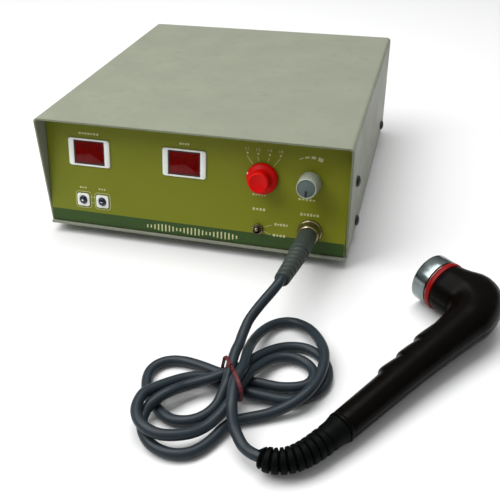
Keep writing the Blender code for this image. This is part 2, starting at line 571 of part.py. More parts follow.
def lead_points():
    """Hand-laid course of the lead: down from the plug, six lobes, then to the handle boot."""
    fall = [(88.6, -80.0, 41.2), (87.0, -86.5, 40.2), (82.5, -93.5, 35.5), (77.8, -100.0, 29.5),
            (74.0, -106.0, 23.5), (73.0, -114.5, 19.0), (73.5, -123.5, 16.5), (74.0, -133.0, 15.0),
            (74.5, -142.5, 13.5), (74.5, -151.0, 12.0), (74.0, -157.0, 9.0)]
    left_upper = [(71.5, -163.0, 6.0), (67.5, -168.0, 4.0), (61.5, -173.0, 3.2), (53.5, -176.0, 3.2),
                  (45.0, -175.5, 3.2), (35.0, -169.5, 3.2), (26.5, -160.5, 3.2), (21.5, -151.0, 3.2),
                  (19.5, -141.0, 3.2), (22.5, -133.0, 3.2), (29.0, -128.5, 3.2), (38.0, -127.5, 3.5),
                  (48.5, -130.0, 4.2), (58.0, -134.0, 5.0), (66.5, -138.0, 5.5)]
    right_inner = [(74.5, -138.5, 5.0), (82.0, -137.5, 4.0), (90.5, -137.0, 3.5), (100.0, -137.0, 3.2),
                   (109.0, -135.0, 3.2), (116.0, -131.5, 3.2), (119.5, -125.5, 3.2),
                   (118.5, -118.0, 3.2), (113.0, -112.0, 3.2), (104.5, -109.0, 3.2),
                   (95.5, -110.5, 3.2), (88.5, -116.5, 4.0), (84.0, -126.0, 6.0), (81.0, -137.5, 9.0)]
    left_outer = [(79.5, -149.0, 12.0), (77.5, -160.0, 12.0), (74.5, -170.0, 10.0), (69.5, -178.5, 8.0),
                  (63.5, -186.0, 9.0), (56.0, -190.5, 10.0), (48.0, -193.0, 10.5), (39.5, -191.5, 10.5),
                  (32.5, -187.0, 10.5), (28.5, -180.0, 10.5), (28.5, -172.0, 10.5), (32.5, -162.0, 9.5),
                  (38.0, -153.5, 8.5), (44.5, -145.5, 7.0), (52.5, -139.5, 6.0), (60.5, -138.5, 5.0),
                  (69.5, -141.0, 5.0)]
    right_middle = [(78.5, -143.5, 5.0), (86.5, -145.5, 4.0), (96.0, -146.0, 3.3), (105.5, -146.0, 3.2),
                    (114.0, -143.0, 3.2), (122.0, -136.5, 3.2), (127.0, -127.0, 3.2),
                    (127.0, -116.5, 3.2), (123.5, -107.5, 3.2), (117.0, -100.5, 3.2),
                    (108.5, -97.0, 3.5), (99.5, -98.0, 4.0), (91.5, -103.0, 5.5), (84.5, -112.5, 8.0),
                    (80.5, -123.0, 11.0), (76.5, -132.5, 13.0), (71.0, -139.5, 12.5)]
    left_lower = [(64.0, -144.0, 10.0), (57.5, -146.5, 8.0), (52.5, -149.0, 7.0), (47.0, -153.0, 7.0),
                  (41.5, -160.5, 9.0), (35.5, -166.5, 8.0), (31.5, -171.5, 5.0), (30.5, -178.5, 4.0),
                  (33.0, -185.5, 3.4), (37.5, -191.5, 3.2), (44.0, -196.0, 3.2), (52.0, -198.0, 3.2),
                  (59.0, -197.5, 3.2), (65.5, -194.5, 3.2), (71.0, -188.0, 3.2), (74.5, -180.0, 3.2),
                  (77.5, -171.5, 3.2)]
    right_outer = [(83.0, -165.5, 3.2), (90.0, -162.0, 3.2), (98.5, -158.0, 3.5), (106.5, -153.5, 5.5),
                   (113.5, -148.5, 8.5), (119.0, -141.5, 10.5), (122.5, -130.5, 10.5),
                   (123.5, -118.5, 10.5), (122.0, -106.5, 10.0), (116.5, -94.0, 8.5), (108.5, -82.5, 6.0),
                   (98.5, -76.0, 4.0), (90.0, -76.0, 3.2), (82.5, -82.0, 3.4), (77.5, -93.5, 5.0),
                   (76.0, -109.5, 9.0), (76.5, -126.5, 14.0), (77.0, -141.5, 17.5)]
    run_out = [(77.0, -153.0, 18.5), (79.0, -163.5, 18.0), (81.0, -170.5, 16.0), (83.5, -176.5, 12.0),
               (87.0, -181.5, 9.5), (92.0, -186.5, 8.5), (98.5, -190.5, 8.8), SWING_PIVOT]
    return fall + left_upper + right_inner + left_outer + right_middle + left_lower + right_outer + run_out


def smooth_course(points, step):
    """Catmull-Rom through the points, sampled at even steps."""
    knots = np.array([points[0], *points, points[-1]], float)
    fine = []
    for before, start, end, after in zip(knots, knots[1:], knots[2:], knots[3:]):
        for t in np.arange(12) / 12:
            fine.append(0.5 * (2 * start + (end - before) * t
                               + (2 * before - 5 * start + 4 * end - after) * t * t
                               + (3 * start - before - 3 * end + after) * t ** 3))
    fine = np.array(fine + [knots[-1]])
    along = np.append(0, np.cumsum(np.linalg.norm(np.diff(fine, axis=0), axis=1)))
    even = np.linspace(0, along[-1], int(round(along[-1] / step)) + 1)
    return np.stack([np.interp(even, along, fine[:, k]) for k in range(3)], axis=1)


def settle_lead(course):
    """Let the lobes sink onto the table and onto each other until no two strands overlap.

    own_bend is the share of its laid curve that the lead keeps by itself while it is smoothed.
    """
    spacing, rounds, pushes, own_bend = 2 * CABLE_RADIUS + 0.8, 240, 5, 0.8
    target = course.copy()
    count = len(course)
    first, second = np.triu_indices(count, int(math.ceil(13.0 / CABLE_STEP)))
    held = np.r_[0:6, count - 6:count]
    for turn in range(rounds):
        fade = max(0.0, 1 - turn / (rounds * 0.7))
        if turn % 10 == 0:
            close = np.linalg.norm(course[first] - course[second], axis=1) < 16
            one, other = first[close], second[close]
        course = course.copy()
        course[:, 2] -= 0.3 * fade
        course[:, :2] += 0.06 * (target[:, :2] - course[:, :2])
        shape = course - own_bend * target
        course[1:-1] += 0.40 * ((shape[:-2] + shape[2:]) / 2 - shape[1:-1])
        course[3:-3] += 0.20 * ((shape[:-6] + shape[6:]) / 2 - shape[3:-3])
        for _ in range(pushes):
            gap = course[one] - course[other]
            length = np.maximum(np.linalg.norm(gap, axis=1), 1e-6)
            touch = length < spacing
            shove = ((spacing - length[touch]) / length[touch] / 2)[:, None] * gap[touch]
            total, hits = np.zeros_like(course), np.zeros(count)
            np.add.at(total, one[touch], shove)
            np.add.at(total, other[touch], -shove)
            np.add.at(hits, one[touch], 1)
            np.add.at(hits, other[touch], 1)
            course += total / np.maximum(hits, 1)[:, None]
            near_tie = np.hypot(*(course[:, :2] - TIE_CENTRE).T) < TIE_REACH + 2
            course[:, 2] = np.maximum(course[:, 2], CABLE_RADIUS + 1.7 * near_tie)
        course[held] = target[held]
    return course


def make_cable(frame, mats, course):
    """One round tube along every second point of the settled course."""
    points = np.vstack([course[:-1:2], course[-1:]])
    section = circle((0, 0), CABLE_RADIUS, 8)
    rings = swept(points, [section] * len(points))
    add("cable", loft(rings), mats["cable_jacket"], frame, sharp=60)


def hull(points):
    """Convex outline of flat points, anticlockwise."""
    ordered = sorted(map(tuple, points))

    def half(sequence):
        chain = []
        for p in sequence:
            while len(chain) > 1:
                (ax, ay), (bx, by) = chain[-2:]
                if (bx - ax) * (p[1] - ay) - (by - ay) * (p[0] - ax) > 0:
                    break
                chain.pop()
            chain.append(p)
        return chain[:-1]
    return half(ordered) + half(ordered[::-1])


def make_twist_tie(frame, mats, course):
    """Flat tie pulled round the bundle: the taut outline of the strands in its plane."""
    along = np.array((math.cos(TIE_HEADING), math.sin(TIE_HEADING)))
    across = np.array((-along[1], along[0]))
    half, reach = 1.1, CABLE_RADIUS + GAP + 0.25
    dense = smooth_course(course.tolist(), CABLE_STEP / 4)
    flat = dense[:, :2] - TIE_CENTRE
    beyond = np.maximum(np.abs(flat @ across) - half, 0.0)
    caught = (beyond < reach) & (np.abs(flat @ along) < TIE_REACH)
    strands = np.column_stack([flat @ along, dense[:, 2], np.sqrt(np.maximum(reach ** 2 - beyond ** 2, 0))])
    rim = [(u + size * math.cos(t), z + size * math.sin(t))
           for u, z, size in strands[caught] for t in np.arange(16) * math.pi / 8]
    inside = hull(rim)
    middle = np.mean(inside, axis=0)
    inner = resampled(inside, 36)
    outer = [tuple(middle + (np.array(p) - middle) * (1 + 0.7 / np.hypot(*(np.array(p) - middle))))
             for p in inner]

    def place(u, z, shift):
        x, y = np.array(TIE_CENTRE) + along * u + across * shift
        return (x, y, z)
    rings = []
    for outline, shift in ((outer, -half), (outer, half), (inner, half), (inner, -half)):
        rings.append([place(u, z, shift) for u, z in outline])
    add("twist_tie", loft(rings, closed=True), mats["tie_red"], frame)


def resampled(outline, count):
    """Even points round a closed flat outline."""
    loop = np.array(list(outline) + [outline[0]])
    along = np.append(0, np.cumsum(np.hypot(*np.diff(loop, axis=0).T)))
    even = np.linspace(0, along[-1], count, endpoint=False)
    return [(float(np.interp(d, along, loop[:, 0])), float(np.interp(d, along, loop[:, 1]))) for d in even]


def make_plug(panel, mats):
    """Plug insert in the socket, its coupling ring, and the moulded boot behind."""
    insert = [(0, -2.5), (6.0, -2.5), (6.0, 9.6), (5.2, 10.0), (5.2, 14.0), (0, 14.0)]
    add("plug_insert", turned(insert, 18, SOCKET), mats["nickel"], panel)
    ring = [(7.7, 2.8), (8.3, 2.8), (8.6, 3.4), (8.6, 9.4), (7.9, 10.4), (6.4, 10.4), (6.4, 9.4), (7.7, 9.4)]
    add("coupling_ring", turned(ring, 24, SOCKET, closed=True), mats["nickel"], panel, (*SOCKET, 0))


def boot_profile(start, end, ribs, wide, narrow, proud):
    """(distance, radius) pairs of a tapering strain relief with rounded ribs."""
    pitch = (end - start) / ribs
    profile = []
    for k in range(ribs):
        radius = wide + (narrow - wide) * k / (ribs - 1)
        at = start + k * pitch
        profile += [(at, radius - proud), (at + 0.22 * pitch, radius), (at + 0.62 * pitch, radius),
                    (at + 0.84 * pitch, radius - proud)]
    return profile


def make_plug_boot(panel, mats):
    """Smooth grip, then ribs that droop towards the lead; a blind bore takes the cable."""
    profile = [(14.4, 5.7), (10.8, 5.7), (10.8, 6.1), (11.6, 6.6), (26.0, 6.9), (40.5, 6.6),
               (41.2, 7.2), (42.4, 7.2)]
    profile += boot_profile(PLUG_BODY_END, PLUG_END, 7, 6.4, 5.0, 0.9)

    def axis(n):
        droop = max(0.0, (n - 30.0) / (PLUG_END - 30.0)) ** 2
        return Vector((SOCKET[0] - 3.0 * droop, SOCKET[1] - 2.6 * droop, n))
    path = [axis(n) for n, _ in profile] + [axis(PLUG_END), axis(PLUG_END), axis(PLUG_END - 7.5)]
    radii = [radius for _, radius in profile] + [4.3, CABLE_RADIUS + GAP, CABLE_RADIUS + GAP]
    rings = [[centre + Vector((a, b, 0)) for a, b in circle((0, 0), radius, 12)]
             for centre, radius in zip(path, radii)]
    add("plug_boot", loft(rings), mats["plug_rubber"], panel)


# ---------------------------------------------------------------- handpiece

def handle_station(distance):
    """Place and heading at a distance along the handle's axis from its neck."""
    bend = HEAD_HEADING - HANDLE_HEADING
    tangent = CORNER_RADIUS * math.tan(bend / 2)
    straight = HANDLE_LENGTH - tangent
    arc = CORNER_RADIUS * bend
    rise = NECK_RADIUS + 1.7 + (SEAL_RADIUS - NECK_RADIUS - 1.7) * min(1.0, distance / straight)
    ahead = Vector((math.cos(HANDLE_HEADING), math.sin(HANDLE_HEADING), 0))
    place = Vector((*NECK, rise)) + ahead * min(distance, straight)
    heading = HANDLE_HEADING
    if distance > straight:
        heading += bend * min(1.0, (distance - straight) / arc)
        centre = place + CORNER_RADIUS * Vector((-ahead.y, ahead.x, 0))
        place = centre + CORNER_RADIUS * Vector((math.sin(heading), -math.cos(heading), 0))
    if distance > straight + arc:
        place += (distance - straight - arc) * Vector((math.cos(heading), math.sin(heading), 0))
    return place, heading


def corner_middle():
    """Distance along the handle's axis from the neck to the middle of the bend."""
    bend = HEAD_HEADING - HANDLE_HEADING
    return HANDLE_LENGTH - CORNER_RADIUS * (math.tan(bend / 2) - bend / 2)


def handle_reach():
    """Length of the handle's axis from the neck to the back of the red seal."""
    bend = HEAD_HEADING - HANDLE_HEADING
    tangent = CORNER_RADIUS * math.tan(bend / 2)
    return HANDLE_LENGTH + HEAD_LENGTH - 2 * tangent + CORNER_RADIUS * bend - SEAL_WIDTH


def grip_radius(distance, turn):
    """Handle radius at a distance, and an angle measured from the finger side (0) upwards."""
    share = distance / handle_reach()
    body = float(np.interp(share, (0.0, 0.20, 0.39, 0.56, 0.70, 0.80, 0.90, 1.0),
                           (8.8, 9.4, 10.2, 11.6, 13.2, 15.0, BARREL_RADIUS, BARREL_RADIUS)))
    finger = 0.0
    for step in FINGER_STEPS:
        past = distance - step
        if 0 <= past < 18.0:
            finger = 2.3 * math.sin(math.pi * min(1.0, (past + 2.0) / 20.0)) ** 0.6
    elbow = ELBOW_BULGE * math.exp(-((distance - corner_middle() - ELBOW_SHIFT) / ELBOW_SPREAD) ** 2)
    side = math.cos(turn)
    return body + (finger if side > 0 else elbow) * side ** 2


def make_handle(frame, mats):
    """Two moulded half shells that part on the level plane through the handle's axis."""
    wall, count = 2.4, 8
    reach = handle_reach()
    steps = sorted([reach * k / 26 for k in range(27)] + [step - 0.4 for step in FINGER_STEPS])
    for word, sign in (("upper", 1), ("lower", -1)):
        rings = []
        for distance in steps:
            place, heading = handle_station(distance)
            left = Vector((-math.sin(heading), math.cos(heading), 0))
            up = Vector((0, 0, sign))
            outer, inner = [], []
            for k in range(count + 1):
                turn = math.pi * k / count
                radius = grip_radius(distance, turn)
                lift = 0.16 if k in (0, count) else 0.0
                for row, size in ((outer, radius), (inner, radius - wall)):
                    row.append(place + left * size * math.cos(turn) + up * (size * math.sin(turn) + lift))
            rings.append(outer + inner[::-1])
        add(f"handle_shell_{word}", loft(rings), mats["handle_black"], frame, SWING_PIVOT)


def make_handle_boot(frame, mats):
    """Ribbed boot from the cable to the neck, with a wide mouth so that the cable can swing."""
    start, (end, heading) = Vector(SWING_PIVOT), handle_station(0.0)
    end = end - 8.5 * Vector((math.cos(heading), math.sin(heading), 0))
    entry = Vector((math.cos(BOOT_HEADING), math.sin(BOOT_HEADING), 0))
    leave = Vector((math.cos(heading), math.sin(heading), 0))
    span = (end - start).length

    def axis(t):
        return (start * (1 - t) ** 3 + (start + entry * span * 0.36) * 3 * t * (1 - t) ** 2
                + (end - leave * span * 0.36) * 3 * t * t * (1 - t) + end * t ** 3)
    ribs = boot_profile(0.0, 1.0, 9, 6.3, 7.7, 1.35)
    outside = [(t, radius) for t, radius in ribs] + [(1.0, 7.6)]
    mouth = start - entry * 3.2
    path = [start + entry * 4.0, start, mouth, mouth] + [axis(t) for t, _ in outside[1:]]
    radii = [CABLE_RADIUS + 0.6, CABLE_RADIUS + 0.6, CABLE_RADIUS + 1.7, 6.0]
    radii += [radius for _, radius in outside[1:]]
    path += [end + leave * 5.2, end + leave * 5.6]
    radii += [8.6, 8.2]
    directions = [entry] * 4 + [None] * (len(path) - 6) + [leave] * 2
    rings = []
    for k, (place, radius) in enumerate(zip(path, radii)):
        ahead = directions[k] or (path[k + 1] - path[k - 1]).normalized()
        side = ahead.cross(Vector((0, 0, 1))).normalized()
        up = side.cross(ahead)
        rings.append([place + side * a + up * b for a, b in circle((0, 0), radius, 12)])
    add("handle_boot", loft(rings), mats["rubber"], frame, SWING_PIVOT)


def make_handle_collar(frame, mats):
    """Plain ring between the boot and the shells."""
    place, heading = handle_station(0.0)
    leave = (math.cos(heading), math.sin(heading), 0)
    ring = [(0, -2.5), (8.4, -2.5), (8.9, -2.1), (9.1, -GAP), (0, -GAP)]
    add("handle_collar", moved(turned(ring, 18), facing(leave, place)), mats["handle_black"], frame,
        SWING_PIVOT)


def make_treatment_head(frame, mats):
    """Metal applicator cap, red seal ring behind it, and the crystal bonded inside its face."""
    place, heading = handle_station(handle_reach())
    stand = facing((math.cos(heading), math.sin(heading), 0), place)
    seal = [(14.9, GAP), (16.9, GAP), (SEAL_RADIUS, 1.0), (SEAL_RADIUS, SEAL_WIDTH - 0.7),
            (16.9, SEAL_WIDTH), (14.9, SEAL_WIDTH)]
    add("head_seal", moved(turned(seal, 24, closed=True), stand), mats["seal_red"], frame, SWING_PIVOT)
    rim, face = SEAL_WIDTH + GAP, SEAL_WIDTH + HEAD_DEPTH
    cap = [(0, face - 2.5), (12.0, face - 2.5), (12.0, -8.0), (13.2, -8.0), (13.4, GAP), (14.4, rim),
           (16.0, rim), (HEAD_RADIUS, rim + 1.3), (HEAD_RADIUS, face - 1.0), (HEAD_RADIUS - 1.0, face),
           (0, face)]
    add("treatment_head", moved(turned(cap, 24), stand), mats["head_metal"], frame, SWING_PIVOT)
    crystal = [(0, face - 5.0), (11.5, face - 5.0), (11.5, face - 2.8), (0, face - 2.8)]
    add("piezo_crystal", moved(turned(crystal, 20), stand), mats["ceramic"], frame, SWING_PIVOT)


# ---------------------------------------------------------------- the set

def clear_scene():
    for item in list(bpy.data.objects):
        bpy.data.objects.remove(item, do_unlink=True)


def centre_on_footprint(root):
    """Move the set so that the middle of its footprint, at table level, is the origin."""
    bpy.context.view_layer.update()
    graph = bpy.context.evaluated_depsgraph_get()
    spots = []
    for piece in bpy.data.objects:
        if piece.type == "MESH" and not piece.hide_render:
            shape = piece.evaluated_get(graph)
            spots += [shape.matrix_world @ vertex.co for vertex in shape.data.vertices]
    for k in range(2):
        values = [spot[k] for spot in spots]
        root.location[k] -= (min(values) + max(values)) / 2
    root.location[2] -= min(spot[2] for spot in spots)


def main():
    clear_scene()
    mats = make_materials()
    root = add_empty("ultrasound_set", (0, 0, 0))
    panel = add_empty("panel_frame", PANEL_ORIGIN, (math.pi / 2 - PANEL_LEAN, 0, 0), root)
    rear = add_empty("rear_frame", (0, REAR_FACE, FOOT_HEIGHT), (math.pi / 2, 0, math.pi), root)
    for make in (make_base_tray, make_top_cover, make_feet, make_cover_screws, make_main_board,
                 make_transformer, make_heat_sink):
        make(root, mats)
    for make in (make_front_panel, make_front_overlay, make_display_board, make_selector, make_power,
                 make_toggle, make_socket, make_plug, make_plug_boot):
        make(panel, mats)
    for word, place in DISPLAYS.items():
        make_display(panel, mats, word, place)
    for word, place in BUTTONS.items():
        make_button(panel, mats, word, place)
    for make in (make_rear_panel, make_mains_inlet, make_power_rocker, make_fuse_holder):
        make(rear, mats)
    course = settle_lead(smooth_course(lead_points(), CABLE_STEP))
    make_cable(root, mats, course)
    make_twist_tie(root, mats, course)
    for make in (make_handle_boot, make_handle_collar, make_handle, make_treatment_head):
        make(root, mats)
    centre_on_footprint(root)


main()
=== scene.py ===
"""Looks of the ultrasound therapy set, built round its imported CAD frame.

Design sizes are in millimetres. CONSOLE places the console's own frame (x across from the cover's
middle, y back from its front edge, z up from the table) and PANEL the leaning front panel's frame
(x across, s up the slope, n out of the face).
"""
import json
import math

import bmesh
import bpy
import numpy as np
from mathutils import Matrix, Vector


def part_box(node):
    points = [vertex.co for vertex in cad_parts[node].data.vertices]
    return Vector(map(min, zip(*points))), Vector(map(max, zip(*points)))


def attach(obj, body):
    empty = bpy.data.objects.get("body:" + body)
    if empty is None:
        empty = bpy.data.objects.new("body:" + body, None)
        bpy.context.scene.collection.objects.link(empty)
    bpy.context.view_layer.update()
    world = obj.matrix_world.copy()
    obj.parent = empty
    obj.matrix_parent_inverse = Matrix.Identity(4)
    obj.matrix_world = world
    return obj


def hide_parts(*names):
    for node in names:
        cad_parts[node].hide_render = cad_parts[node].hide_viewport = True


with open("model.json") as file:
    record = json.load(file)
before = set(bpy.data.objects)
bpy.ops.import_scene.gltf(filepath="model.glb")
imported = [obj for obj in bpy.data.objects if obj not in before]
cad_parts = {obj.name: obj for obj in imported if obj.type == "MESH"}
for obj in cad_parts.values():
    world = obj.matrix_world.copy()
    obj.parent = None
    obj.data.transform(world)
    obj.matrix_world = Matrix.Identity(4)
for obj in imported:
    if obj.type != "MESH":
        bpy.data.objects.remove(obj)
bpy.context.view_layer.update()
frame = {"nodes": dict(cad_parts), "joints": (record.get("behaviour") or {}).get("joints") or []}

MM = 0.001
JOINTS = {joint["name"]: joint for joint in frame["joints"]}
COVER_LOW, COVER_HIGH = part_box("top_cover")
CONSOLE = (Matrix.Translation(((COVER_LOW.x + COVER_HIGH.x) / 2, COVER_LOW.y, 0.0))
           @ Matrix.Scale(MM, 4))


def panel_matrix():
    """The leaning panel's frame, from the mode selector's axis and the cover's lower edge."""
    turn = JOINTS["selector_turn"]
    out, place = Vector(turn["axis"]), Vector(turn["pos_m"])
    across = Vector((1, 0, 0))
    up = out.cross(across)
    middle = (COVER_LOW.x + COVER_HIGH.x) / 2
    origin = place - across * (place.x - middle) - up * ((place.z - COVER_LOW.z) / up.z)
    matrix = Matrix((across, up, out)).transposed().to_4x4()
    return Matrix.Translation(origin) @ matrix @ Matrix.Scale(MM, 4)


PANEL = panel_matrix()


def spot(matrix, place):
    """A world point or node centre in one of the frames above, in millimetres."""
    return matrix.inverted() @ Vector(place)


def node_centre(node, matrix):
    low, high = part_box(node)
    return spot(matrix, (low + high) / 2)


SELECTOR = spot(PANEL, JOINTS["selector_turn"]["pos_m"]).to_2d()
POWER = spot(PANEL, JOINTS["power_turn"]["pos_m"]).to_2d()
SOCKET = spot(PANEL, JOINTS["coupling_ring_spin"]["pos_m"]).to_2d()
TOGGLE_PIVOT = spot(PANEL, JOINTS["toggle_flip"]["pos_m"])
TOGGLE = TOGGLE_PIVOT.to_2d()
KEYS = {"up": node_centre("up_button", PANEL).to_2d(), "down": node_centre("down_button", PANEL).to_2d()}
DISPLAYS = {word: node_centre(f"{word}_display_window", PANEL).to_2d() for word in ("time", "intensity")}
SWING = spot(CONSOLE, JOINTS["handpiece_swing"]["pos_m"])


# ---------------------------------------------------------------- materials

def srgb(red, green, blue):
    """Screen colour, 0 to 255, as linear light."""
    def linear(value):
        value /= 255
        return value / 12.92 if value <= 0.04045 else ((value + 0.055) / 1.055) ** 2.4
    return (linear(red), linear(green), linear(blue), 1.0)


def shaded(colour, factor):
    return (*(min(1.0, channel * factor) for channel in colour[:3]), 1.0)


class Finish:
    """A procedural material: Principled shader plus the noise, painted edge highlight and bump that feed
    it.
    """

    def __init__(self, name, colour, roughness, metallic=0.0, gloss=0.5):
        self.material = bpy.data.materials.new(name)
        self.material.use_nodes = True
        self.tree = self.material.node_tree
        self.shader = self.tree.nodes["Principled BSDF"]
        self.shader.inputs["Metallic"].default_value = metallic
        self.place = self.tree.nodes.new("ShaderNodeTexCoord").outputs["Object"]
        self.colour = self.constant(colour)
        self.rough = roughness
        self.shader.inputs["Specular IOR Level"].default_value = gloss
        self.shader.inputs["Roughness"].default_value = roughness
        self.link(self.colour, self.shader.inputs["Base Color"])

    def constant(self, colour):
        node = self.tree.nodes.new("ShaderNodeRGB")
        node.outputs[0].default_value = colour
        return node.outputs[0]

    def link(self, source, target):
        self.tree.links.new(source, target)

    def noise(self, size, detail=3.0, stretch=(1, 1, 1)):
        """Noise with features about size metres across, stretched along each axis."""
        spread = self.tree.nodes.new("ShaderNodeMapping")
        spread.inputs["Scale"].default_value = [1 / (size * s) for s in stretch]
        self.link(self.place, spread.inputs["Vector"])
        node = self.tree.nodes.new("ShaderNodeTexNoise")
        node.inputs["Scale"].default_value = 1.0
        node.inputs["Detail"].default_value = detail
        self.link(spread.outputs["Vector"], node.inputs["Vector"])
        return node.outputs["Fac"]

    def span(self, source, low, high, to_low=0.0, to_high=1.0):
        node = self.tree.nodes.new("ShaderNodeMapRange")
        limits = {"From Min": low, "From Max": high, "To Min": to_low, "To Max": to_high}
        for name, value in limits.items():
            node.inputs[name].default_value = value
        self.link(source, node.inputs["Value"])
        return node.outputs["Result"]

    def tint(self, colour, amount):
        """Mix another colour over the present one by a 0 to 1 signal."""
        node = self.tree.nodes.new("ShaderNodeMix")
        node.data_type = "RGBA"
        self.link(amount, node.inputs[0])
        self.link(self.colour, node.inputs[6])
        node.inputs[7].default_value = colour
        self.colour = node.outputs[2]
        self.link(self.colour, self.shader.inputs["Base Color"])
        return self

    def mottle(self, colour, size, low=0.4, high=0.75):
        return self.tint(colour, self.span(self.noise(size), low, high))

    def uneven(self, size, spread):
        """Let the roughness drift by spread either way."""
        drift = self.span(self.noise(size), 0.3, 0.7, self.rough - spread, self.rough + spread)
        self.link(drift, self.shader.inputs["Roughness"])
        return self

    def painted_edge_highlight(self, colour, low=0.52, high=0.6):
        """Painted highlight: a lighter (or darker) colour mixed over sharp edges."""
        edge = self.tree.nodes.new("ShaderNodeNewGeometry").outputs["Pointiness"]
        return self.tint(colour, self.span(edge, low, high))

    def bump(self, size, depth, detail=2.0, stretch=(1, 1, 1)):
        node = self.tree.nodes.new("ShaderNodeBump")
        node.inputs["Distance"].default_value = depth
        self.link(self.noise(size, detail, stretch), node.inputs["Height"])
        self.link(node.outputs["Normal"], self.shader.inputs["Normal"])
        return self


def enamel(name, colour):
    """Stoved sage enamel: slight orange peel and soft clouding."""
    finish = Finish(name, colour, 0.45, gloss=0.35)
    finish.mottle(shaded(colour, 1.08), 0.035).mottle(shaded(colour, 0.93), 0.009, 0.55, 0.8)
    return finish.uneven(0.02, 0.06).bump(0.0012, 0.00003).material


def overlay_olive():
    """Printed polyester: greener towards the left, browner towards the right, fine tooth."""
    finish = Finish("overlay_olive", srgb(109, 116, 23), 0.48, gloss=0.22)
    across = finish.tree.nodes.new("ShaderNodeSeparateXYZ")
    finish.link(finish.place, across.inputs[0])
    finish.tint(srgb(121, 125, 14), finish.span(across.outputs["X"], COVER_LOW.x, COVER_HIGH.x))
    finish.mottle(srgb(116, 121, 27), 0.03, 0.45, 0.8)
    return finish.uneven(0.01, 0.05).bump(0.0005, 0.000012).material


def moulded(name, colour, roughness, grain=0.00001, gloss=0.5):
    """Moulded plastic or rubber with a little tone drift and surface grain."""
    finish = Finish(name, colour, roughness, gloss=gloss)
    finish.mottle(shaded(colour, 1.15), 0.012).uneven(0.006, 0.05)
    return finish.bump(0.0007, grain).material


def metal(name, colour, roughness, brushed=(1, 1, 1), tarnish=0.8):
    """Plated or polished metal, with fine brushing and patches of duller, darker tarnish."""
    finish = Finish(name, colour, roughness, 1.0)
    finish.mottle(shaded(colour, tarnish), 0.006, 0.5, 0.75).uneven(0.004, 0.05)
    return finish.bump(0.0003, 0.000004, 2.0, brushed).material


def red_filter():
    """Tinted acrylic: clear red with a glossy face."""
    finish = Finish("red_filter", srgb(180, 20, 14), 0.06)
    tree = finish.tree
    clear = tree.nodes.new("ShaderNodeBsdfTransparent")
    clear.inputs["Color"].default_value = (0.62, 0.035, 0.02, 1)
    cut = tree.nodes.new("ShaderNodeMixShader")
    cut.inputs[0].default_value = 0.28
    tree.links.new(clear.outputs[0], cut.inputs[1])
    tree.links.new(finish.shader.outputs[0], cut.inputs[2])
    tree.links.new(cut.outputs[0], tree.nodes["Material Output"].inputs["Surface"])
    finish.mottle(srgb(150, 14, 10), 0.008).bump(0.004, 0.000006)
    return finish.material


def knob_red():
    finish = Finish("knob_red", srgb(200, 6, 4), 0.42, gloss=0.14)
    # the lighter red mixed over the rims and flute edges is a painted highlight
    finish.mottle(srgb(204, 12, 8), 0.006).painted_edge_highlight(srgb(214, 48, 34), 0.54, 0.64)
    return finish.uneven(0.004, 0.06).bump(0.0006, 0.00001).material


def copper():
    finish = Finish("winding_copper", srgb(150, 80, 40), 0.35, 0.7)
    return finish.mottle(srgb(110, 55, 28), 0.003).bump(0.0006, 0.0001, 1.0, (0.3, 0.3, 1)).material


def board():
    finish = Finish("board_green", srgb(28, 95, 50), 0.45)
    return finish.mottle(srgb(40, 120, 66), 0.004, 0.5, 0.55).bump(0.001, 0.00004).material


PAINTS = {
    "case": enamel("case_enamel", srgb(128, 132, 116)),
    # a darker, yellower copy of the case enamel for the cover's front and back edges: painted shade
    "edge": enamel("case_edge_painted_shade", srgb(116, 122, 98)),
    "overlay": overlay_olive(),
    "stripe": moulded("stripe_green", srgb(44, 70, 20), 0.42, gloss=0.3),
    "ink": moulded("pale_ink", srgb(190, 190, 138), 0.5),
    "white": moulded("bezel_white", srgb(227, 229, 224), 0.34),
    "filter": red_filter(),
    "digit": moulded("digit_off", srgb(150, 120, 112), 0.5),
    "display": moulded("display_black", srgb(58, 30, 30), 0.45),
    "navy": moulded("key_navy", srgb(20, 24, 44), 0.18, 0.000004),
    "black": moulded("black_plastic", srgb(30, 30, 31), 0.42),
    "knob_red": knob_red(),
    "knob_grey": moulded("knob_grey", srgb(84, 96, 92), 0.45, gloss=0.3),
    "knob_side": moulded("knob_side_grey", srgb(150, 156, 142), 0.4, gloss=0.4),
    "nickel": metal("nickel", srgb(150, 140, 112), 0.3, (1, 1, 6), 0.7),
    "steel": metal("steel", srgb(176, 178, 180), 0.32),
    "zinc": metal("zinc", srgb(180, 182, 184), 0.4),
    "copper": copper(),
    "board": board(),
    "rubber": moulded("foot_rubber", srgb(26, 26, 26), 0.7, 0.00003),
    "screw": moulded("black_oxide", srgb(14, 14, 14), 0.34),
    "plug": moulded("plug_slate", srgb(44, 52, 48), 0.55, 0.00002, 0.3),
    "cable": moulded("cable_jacket", srgb(32, 41, 47), 0.42, 0.00001, 0.24),
    "tie": moulded("tie_red", srgb(84, 26, 32), 0.5, gloss=0.25),
    "boot": moulded("boot_rubber", srgb(6, 8, 7), 0.5, 0.00002, 0.04),
    "handle": moulded("handle_black", srgb(7, 5, 4), 0.3, 0.000004, 0.04),
    "seal": moulded("seal_red", srgb(122, 8, 10), 0.4, gloss=0.12),
    "chrome": metal("head_chrome", srgb(128, 138, 138), 0.2, (1, 1, 1), 0.8),
    "ceramic": moulded("ceramic", srgb(206, 196, 172), 0.6),
    "glass": moulded("fuse_glass", srgb(205, 215, 215), 0.08),
    "core": metal("core_steel", srgb(120, 118, 114), 0.5, (1, 6, 1)),
}


# ---------------------------------------------------------------- outlines and solids

def circle(centre, radius, count=40, start=0.0):
    step = 2 * math.pi / count
    return [(centre[0] + radius * math.cos(start + k * step),
             centre[1] + radius * math.sin(start + k * step)) for k in range(count)]


